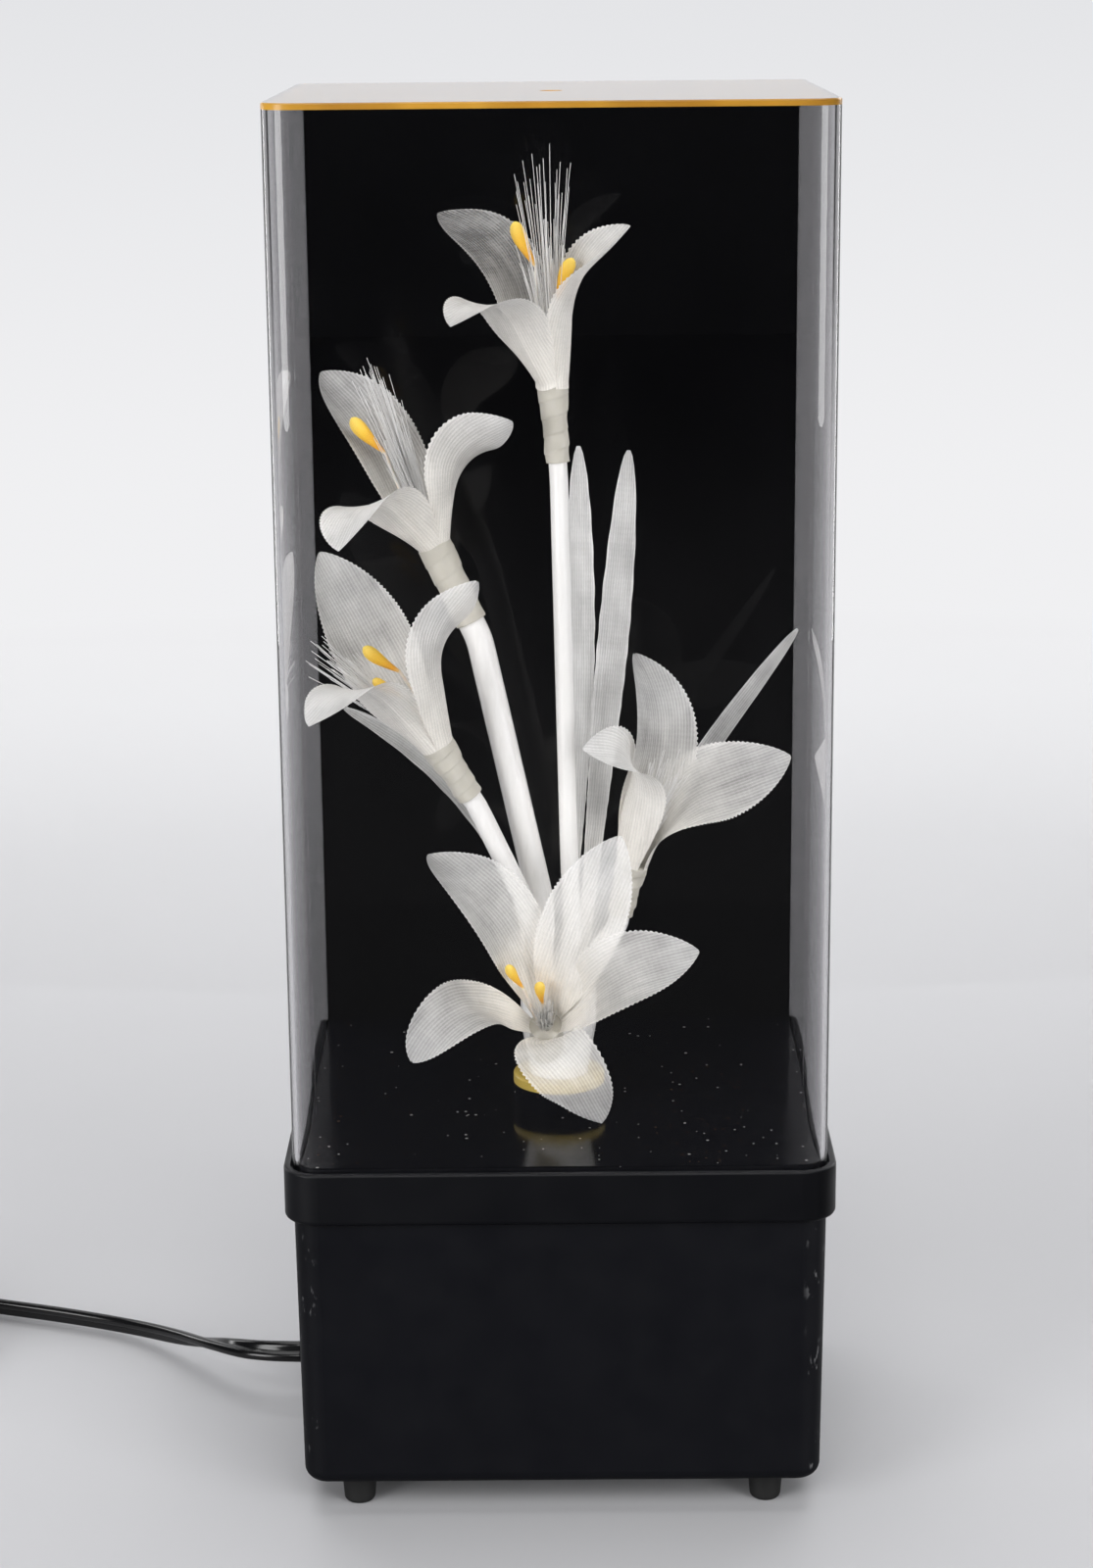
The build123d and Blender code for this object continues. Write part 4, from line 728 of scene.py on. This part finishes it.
def tape(place, length, stem, top, over):
    """The tape wound from a stem up to its flower's neck, under the feet of the petals: each turn's edge
    stands a little proud."""
    neck, axis, east, north = place
    foot = min(stem + TAPE_OVER_STEM, top - TAPE_UNDER_TOP)
    rings = [(-length, [stem - TAPE_TUCK] * TAPE_SIDES)]
    for r in range(TAPE_ROWS):
        t = r / (TAPE_ROWS - 1)
        wound = 1 - smooth((t - TAPE_PLAIN_FROM) / TAPE_PLAIN_OVER)
        radii = []
        for k in range(TAPE_SIDES):
            angle = 2 * math.pi * k / TAPE_SIDES
            phase = (t * TAPE_TURNS - k / TAPE_SIDES) % 1.0
            step = TAPE_STEP * (1 - phase) ** 2 - TAPE_SUNK
            lump = sum(size * math.sin(waves * angle + rate * t) for size, waves, rate in TAPE_LUMPS)
            radii.append(foot + (top - foot) * t ** TAPE_POWER + (step + lump) * wound)
        rings.append((-length + (length + over) * t, radii))
    rings.append((over + TAPE_CAP_RISE, [NECK_RADIUS - TAPE_CAP_INSET] * TAPE_SIDES))
    verts = []
    for height, radii in rings:
        for k, radius in enumerate(radii):
            angle = 2 * math.pi * k / TAPE_SIDES
            outward = east * math.cos(angle) + north * math.sin(angle)
            verts.append((neck + axis * height + outward * radius) * MM)
    return verts, tube_faces(len(rings), TAPE_SIDES) + [tube_end(len(rings), TAPE_SIDES)]


# Cord: one smooth line from the bushing to the plug, through the coil that puts its length away
CORD, CORD_CORE, CORE_POINTS = 5.6, 1.4, 9
CORE_ARC, CORE_STARTS = 300, ((1, -150), (-1, 30))
CORD_EXIT_Y, CORD_EXIT_Z, CORD_STRAIGHT = 9.0, 15.0, 13.8
ROUTE = [(-92.0, 19.5, 12.4), (-104.0, 35.5, 7.0), (-119.0, 50.5, 3.6), (-140.0, 59.3, 3.5),
         (-164.0, 67.3, 3.4), (-187.0, 75.8, 3.4)]
COIL_RADIUS, COIL_PITCH, COIL_TURNS, COIL_POINTS = 33.5, 6.2, 3.4, 18
PLUG_RUN, PLUG_HEIGHT = 26.0, 7.0
TWIST_START, TWIST_SWING, TWIST_LENGTH, UNTWIST_FROM, UNTWIST_LENGTH = 62, 124, 62, 118, 40


def cord_line():
    exit_point = Vector((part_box("cord_bushing")[0].x / MM, CORD_EXIT_Y, CORD_EXIT_Z))
    points = [exit_point, exit_point - Vector((CORD_STRAIGHT, 0, 0))] + [Vector(p) for p in ROUTE]
    entry = points[-1]
    heading = (entry - points[-2]).normalized()
    outer = COIL_RADIUS + COIL_PITCH * COIL_TURNS / 2
    turn_in = math.atan2(heading.y, heading.x) - math.pi / 2
    start = entry + heading * CORD
    centre = start - Vector((math.cos(turn_in), math.sin(turn_in), 0)) * outer
    turn_out = math.pi
    whole = round(2 * COIL_TURNS + 0.5 - (turn_out - turn_in) / (2 * math.pi))
    total = turn_out - turn_in + 2 * math.pi * whole
    middle = total / 2
    count = round(total / (2 * math.pi) * COIL_POINTS)
    for i in range(count + 1):
        turn = total * i / count
        radius = outer - COIL_PITCH * (middle - abs(turn - middle)) / (2 * math.pi)
        climb = smooth((turn - middle + math.pi / 2) / math.pi)
        angle = turn_in + turn
        points.append(Vector((centre.x + radius * math.cos(angle), centre.y + radius * math.sin(angle),
                              entry.z + COIL_PITCH * climb)))
    out = Vector((0, -1, 0))
    end = points[-1] + out * CORD
    nose = Vector((end.x, end.y - PLUG_RUN, PLUG_HEIGHT))
    points += [end, end + out * (PLUG_RUN / 3), nose - out * (PLUG_RUN / 3), nose]
    return points


def sampled_line(points):
    """Points read from a smooth spline that has the given points as its control points."""
    data = bpy.data.curves.new("cord_line", "CURVE")
    data.dimensions = "3D"
    spline = data.splines.new("NURBS")
    spline.points.add(len(points) - 1)
    for point, p in zip(spline.points, points):
        point.co = (*(p * MM), 1)
    spline.order_u = 3
    spline.use_endpoint_u = True
    spline.resolution_u = 6
    line = bpy.data.objects.new("cord_line", data)
    scene.collection.objects.link(line)
    bpy.context.view_layer.update()
    sampled = bpy.data.meshes.new_from_object(line.evaluated_get(bpy.context.evaluated_depsgraph_get()))
    path = [v.co.copy() for v in sampled.vertices]
    bpy.data.objects.remove(line)
    return path


def cord(material):
    """A flat twin lead: two round cores joined by a web, swept along its line, with a twist near the base."""
    path = sampled_line(cord_line())
    outline = []
    for side, first in CORE_STARTS:
        for k in range(CORE_POINTS):
            a = math.radians(first + CORE_ARC * k / (CORE_POINTS - 1))
            outline.append((side * CORD_CORE + CORD_CORE * math.cos(a), CORD_CORE * math.sin(a)))
    verts = []
    far = 0.0
    for i, p in enumerate(path):
        if i:
            far += (p - path[i - 1]).length / MM
        along = (path[min(i + 1, len(path) - 1)] - path[max(i - 1, 0)]).normalized()
        flat = along.cross(Vector((0, 0, 1))).normalized()
        up = flat.cross(along)
        twist = TWIST_START - TWIST_SWING * smooth(far / TWIST_LENGTH)
        twist = math.radians(twist * (1 - smooth((far - UNTWIST_FROM) / UNTWIST_LENGTH)))
        wide = flat * math.cos(twist) + up * math.sin(twist)
        thin = up * math.cos(twist) - flat * math.sin(twist)
        for x, y in outline:
            verts.append(p + wide * (x * MM) + thin * (y * MM))
    sides = len(outline)
    faces = tube_faces(len(path), sides) + [tube_foot(sides), tube_end(len(path), sides)]
    obj = new_mesh("mains_cord", verts, faces, material, "cord_vinyl")
    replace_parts(obj, "cord_lead", "cord_coil", "plug_lead")


# Stage and light, in metres
# The table's colour holds painted shade: darker and blotchy near the case and in front of it, paler from
# TABLE_FAR_FROM back to TABLE_FAR_FULL
TABLE_NEAR_DARK, TABLE_NEAR_LIGHT, TABLE_FAR = (0.6, 0.6, 0.618), (0.64, 0.64, 0.66), (0.86, 0.86, 0.875)
TABLE_MIRRORED, TABLE_FAR_FROM, TABLE_FAR_FULL, TABLE_FRONT = (0.015, 0.015, 0.016), 0.12, 0.85, 0.1
FADE_FROM, FADE_FULL = 0.6, 1.1
PALE_LOW, PALE_HIGH, PALE_RISE = (0.87, 0.87, 0.885), (0.775, 0.78, 0.8), 0.35
ROOM_DIM, ROOM_PALE = (0.0124, 0.0128, 0.0136), (0.85, 0.85, 0.865)
TABLE_HALF, TABLE_START, TABLE_END, TABLE_RUNS = 2.6, -2.6, 1.5, 8
BACKDROP_BEND, BACKDROP_HEIGHTS = 0.6, (1.4, 2.6)
LAMPS = (
    ("overhead", (0, 0.1, 1.7), (0, 0.1, 0), (1.4, 1.2), 10, ()),
    ("front_box", (0.1, -1.3, 1.45), (0, 0, 0.2), (1.3, 0.7), 10, ()),
    ("left_box", (-1.05, -1.05, 0.5), (0, 0, 0.22), (0.7, 0.9), 13, ()),
    ("right_box", (1.05, -1.05, 0.5), (0, 0, 0.22), (0.7, 0.9), 11.8, ("deck_lid", "top_plate")),
    ("backdrop_wash", (0, 1.0, 1.9), (0, 2.1, 0.7), (2.2, 0.5), 20, ()),
    ("left_strip", (-0.8, 0.6, 0.4), (0, 0, 0.25), (0.12, 0.9), 1.9, ("table",)),
    ("right_strip", (0.8, 0.6, 0.4), (0, 0, 0.25), (0.12, 0.9), 1.6, ("table",)),
    ("back_fill", (1.0, 1.4, 0.9), (0, 0, 0.15), (0.6, 0.6), 5, ("table",)),
)


def table_material():
    """A pale table with painted shade, darker around and in front of the case than behind it. It is dark to
    mirrored rays in front, and fades into the pale room where it is seen.
    """
    s = Shader("table", (0.8, 0.8, 0.815), 0.7)
    place = s.split()
    # Painted shade of the floor: blotchy darker grey near the case, paler further back
    near_painted_shade = s.mix(s.noise(3, 3), TABLE_NEAR_DARK, TABLE_NEAR_LIGHT)
    table_with_painted_shade = s.mix(s.span(place["Y"], TABLE_FAR_FROM, TABLE_FAR_FULL, 0, 1), near_painted_shade, TABLE_FAR)
    front = s.span(place["Y"], -TABLE_FRONT, TABLE_FRONT, 1, 0)
    path = s.add("ShaderNodeLightPath")
    mirrored = s.math("MULTIPLY", front, s.math("GREATER_THAN", path.outputs["Glossy Depth"], NO_BOUNCE))
    s.color(s.mix(mirrored, table_with_painted_shade, TABLE_MIRRORED))
    away = s.add("ShaderNodeVectorMath", operation="LENGTH")
    s.link(s.place(), away.inputs[0])
    fade = s.math("MULTIPLY", s.direct(path), s.span(away.outputs["Value"], FADE_FROM, FADE_FULL, 0, 1))
    glow = s.add("ShaderNodeEmission")
    s.link(s.mix(s.span(place["Z"], 0, PALE_RISE, 0, 1), PALE_LOW, PALE_HIGH), glow.inputs["Color"])
    blend = s.add("ShaderNodeMixShader")
    for slot, output in zip(blend.inputs, (fade, s.bsdf.outputs[0], glow.outputs[0])):
        s.link(output, slot)
    s.link(blend.outputs[0], s.tree.nodes["Material Output"].inputs["Surface"])
    return s.material


def make_table():
    """A table that bends up into a backdrop."""
    run = (TABLE_END - TABLE_START) / TABLE_RUNS
    profile = [(TABLE_START + run * k, 0.0) for k in range(TABLE_RUNS + 1)]
    for degrees in range(10, 91, 10):
        a = math.radians(degrees)
        profile.append((TABLE_END + BACKDROP_BEND * math.sin(a), BACKDROP_BEND - BACKDROP_BEND * math.cos(a)))
    profile += [(TABLE_END + BACKDROP_BEND, height) for height in BACKDROP_HEIGHTS]
    verts = [(x, y, z) for y, z in profile for x in (-TABLE_HALF, TABLE_HALF)]
    faces = [(2 * r, 2 * r + 1, 2 * r + 3, 2 * r + 2) for r in range(len(profile) - 1)]
    data = bpy.data.meshes.new("table")
    data.from_pydata(verts, [], faces)
    smooth_faces(data)
    data.materials.append(table_material())
    table = bpy.data.objects.new("table", data)
    scene.collection.objects.link(table)
    return table


def make_world():
    """A dim room that looks pale where it is seen directly or through the clear case."""
    world = bpy.data.worlds.new("room")
    world.use_nodes = True
    room = Nodes(world.node_tree)
    tint = room.mix(room.direct(room.add("ShaderNodeLightPath")), ROOM_DIM, ROOM_PALE)
    room.link(tint, room.tree.nodes["Background"].inputs["Color"])
    scene.world = world


def area_light(name, place, aim, size, power, spared):
    """A rectangular lamp, which leaves out the spared objects."""
    data = bpy.data.lights.new(name, "AREA")
    data.shape = "RECTANGLE"
    data.size, data.size_y = size
    data.energy = power
    light = bpy.data.objects.new(name, data)
    light.visible_transmission = False
    light.location = place
    light.rotation_euler = (Vector(aim) - Vector(place)).to_track_quat("-Z", "Y").to_euler()
    scene.collection.objects.link(light)
    if spared:
        apart = bpy.data.collections.new(name + "_spares")
        for k, obj in enumerate(spared):
            apart.objects.link(obj)
            apart.collection_objects[k].light_linking.link_state = "EXCLUDE"
        light.light_linking.receiver_collection = apart


make_camera()
make_world()
lit = {**nodes, "table": make_table()}
for *settings, spared in LAMPS:
    area_light(*settings, [lit[name] for name in spared])

petal_cloth = sheer_material("petal_fabric", 0.8, 1.3)
leaf_cloth = sheer_material("leaf_film", 0.6, 1.4)
vinyl = moulded("cord_vinyl", (0.004, 0.004, 0.0045), (0.008, 0.008, 0.009), 0.14, 0.25, 1800, 0.00002)
fibre = fibre_material()

cord(vinyl)

pods, wraps = [], []
for flower_name, flower in FLOWERS.items():
    place = flower_frame(flower)
    made = [petal(f"petal_{flower_name}_{i + 1}", place, len(flower["petals"]), shape, petal_cloth)
            for i, shape in enumerate(flower["petals"])]
    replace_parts(made[0], "petals_" + flower_name)
    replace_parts(tuft("fibre_ends_" + flower_name, place, flower["tuft"], fibre), "fibres_" + flower_name)
    pods += [stamen(place, shape) for shape in flower["stamens"]]
    wraps.append(tape(place, flower["calyx"], flower["stem"], *flower["tape"]))
anthers = new_mesh("anthers", *merged([pod for pod, ripe in pods]), anther_material(), "anther_foam")
point_values(anthers, "ripe", [value for pod, ripe in pods for value in ripe])
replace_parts(anthers, "stamens")
for leaf_name, shape in LEAVES.items():
    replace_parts(leaf("strap_leaf_" + leaf_name, shape, leaf_cloth), "leaf_" + leaf_name)
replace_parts(new_mesh("wound_tape", *merged(wraps), wrap_material(), "cream_wrap"), "calyx_wraps")

# Finishes of the nodes that show
PLASTICS = {
    "rubber_feet": ((0.008, 0.008, 0.008), (0.014, 0.014, 0.014), 0.55, 0.75, ("feet",)),
    "yellow_sleeve": ((0.6, 0.42, 0.07), (0.74, 0.56, 0.14), 0.25, 0.4, ("bundle_sleeve",)),
    "lamp_moulding": ((0.03, 0.026, 0.022), (0.045, 0.04, 0.035), 0.4, 0.55, ("lamp_holder",)),
    "wheel_hub_plastic": ((0.6, 0.6, 0.57), (0.7, 0.7, 0.67), 0.35, 0.5, ("wheel_hub", "wheel_washer")),
    "switch_plastic": ((0.008, 0.008, 0.009), (0.013, 0.013, 0.014), 0.3, 0.42,
                       ("switch_frame", "switch_rocker")),
    "lead_vinyl": ((0.03, 0.03, 0.03), (0.05, 0.05, 0.05), 0.35, 0.5, ("inner_leads",)),
    "tie_vinyl": ((0.02, 0.02, 0.02), (0.04, 0.04, 0.04), 0.5, 0.65, ("coil_tie",)),
}
METALS = {
    "steel_plate": ((0.55, 0.55, 0.56), 0.35,
                    ("clamp_plate", "sleeve_clip", "motor_shaft", "holder_bracket")),
    "steel_screws": ((0.6, 0.6, 0.6), 0.28, ("lid_screws", "small_screws", "motor_screws")),
    "motor_can": ((0.62, 0.62, 0.63), 0.4, ("motor_body",)),
    "brass": ((0.72, 0.53, 0.22), 0.3, ("bulb_cap", "switch_terminals", "plug_blades")),
}
FILTERS = {"red": (0.8, 0.03, 0.03), "amber": (0.9, 0.45, 0.03), "green": (0.03, 0.55, 0.1),
           "blue": (0.03, 0.1, 0.7)}
FILM_IOR, FILM_ROUGHNESS, FILM_DRIFT, GLASS_IOR = 1.45, 0.05, 0.04, 1.5
LEVEL_FACE = 0.95

for slot, (dark, light, rough_low, rough_high, names) in PLASTICS.items():
    dress(moulded(slot, dark, light, rough_low, rough_high), *names)
for slot, (color, rough, names) in METALS.items():
    dress(metal_material(slot, color, rough), *names)
for filter_name, color in FILTERS.items():
    name = "filter_" + filter_name
    dress(clear_material(name, color, FILM_IOR, FILM_ROUGHNESS, FILM_DRIFT), name)
dress(base_material(), "base_tub")
dress(deck_material(), "deck_lid")
dress(back_material(), "back_panel")
dress(film_material(), "fibre_trunk", "stem_top", "stem_left", "stem_low_left", "stem_right")
dress(vinyl, "cord_bushing", "plug_body")
dress(clear_material("clear_sheet", (0.9, 0.893, 0.905), drift=0.015), "clear_walls")
dress(clear_material("lamp_glass", (0.96, 0.96, 0.95), GLASS_IOR), "bulb_glass")
dress(clear_material("wheel_clear", (0.94, 0.94, 0.94)), "wheel_disc")
dress(clear_material("amber_sheet", (0.93, 0.47, 0.06), drift=0.05), "top_plate")
plate = nodes["top_plate"].data
plate.materials.append(amber_edge_material())
for polygon in plate.polygons:
    polygon.material_index = int(abs(polygon.normal.z) < LEVEL_FACE)
for name in ("clear_walls", "top_plate"):
    nodes[name].visible_shadow = False
    nodes[name].visible_diffuse = False
for node in nodes.values():
    smooth_faces(node.data)
    node.data.set_sharp_from_angle(angle=math.radians(SHARP_ANGLE))
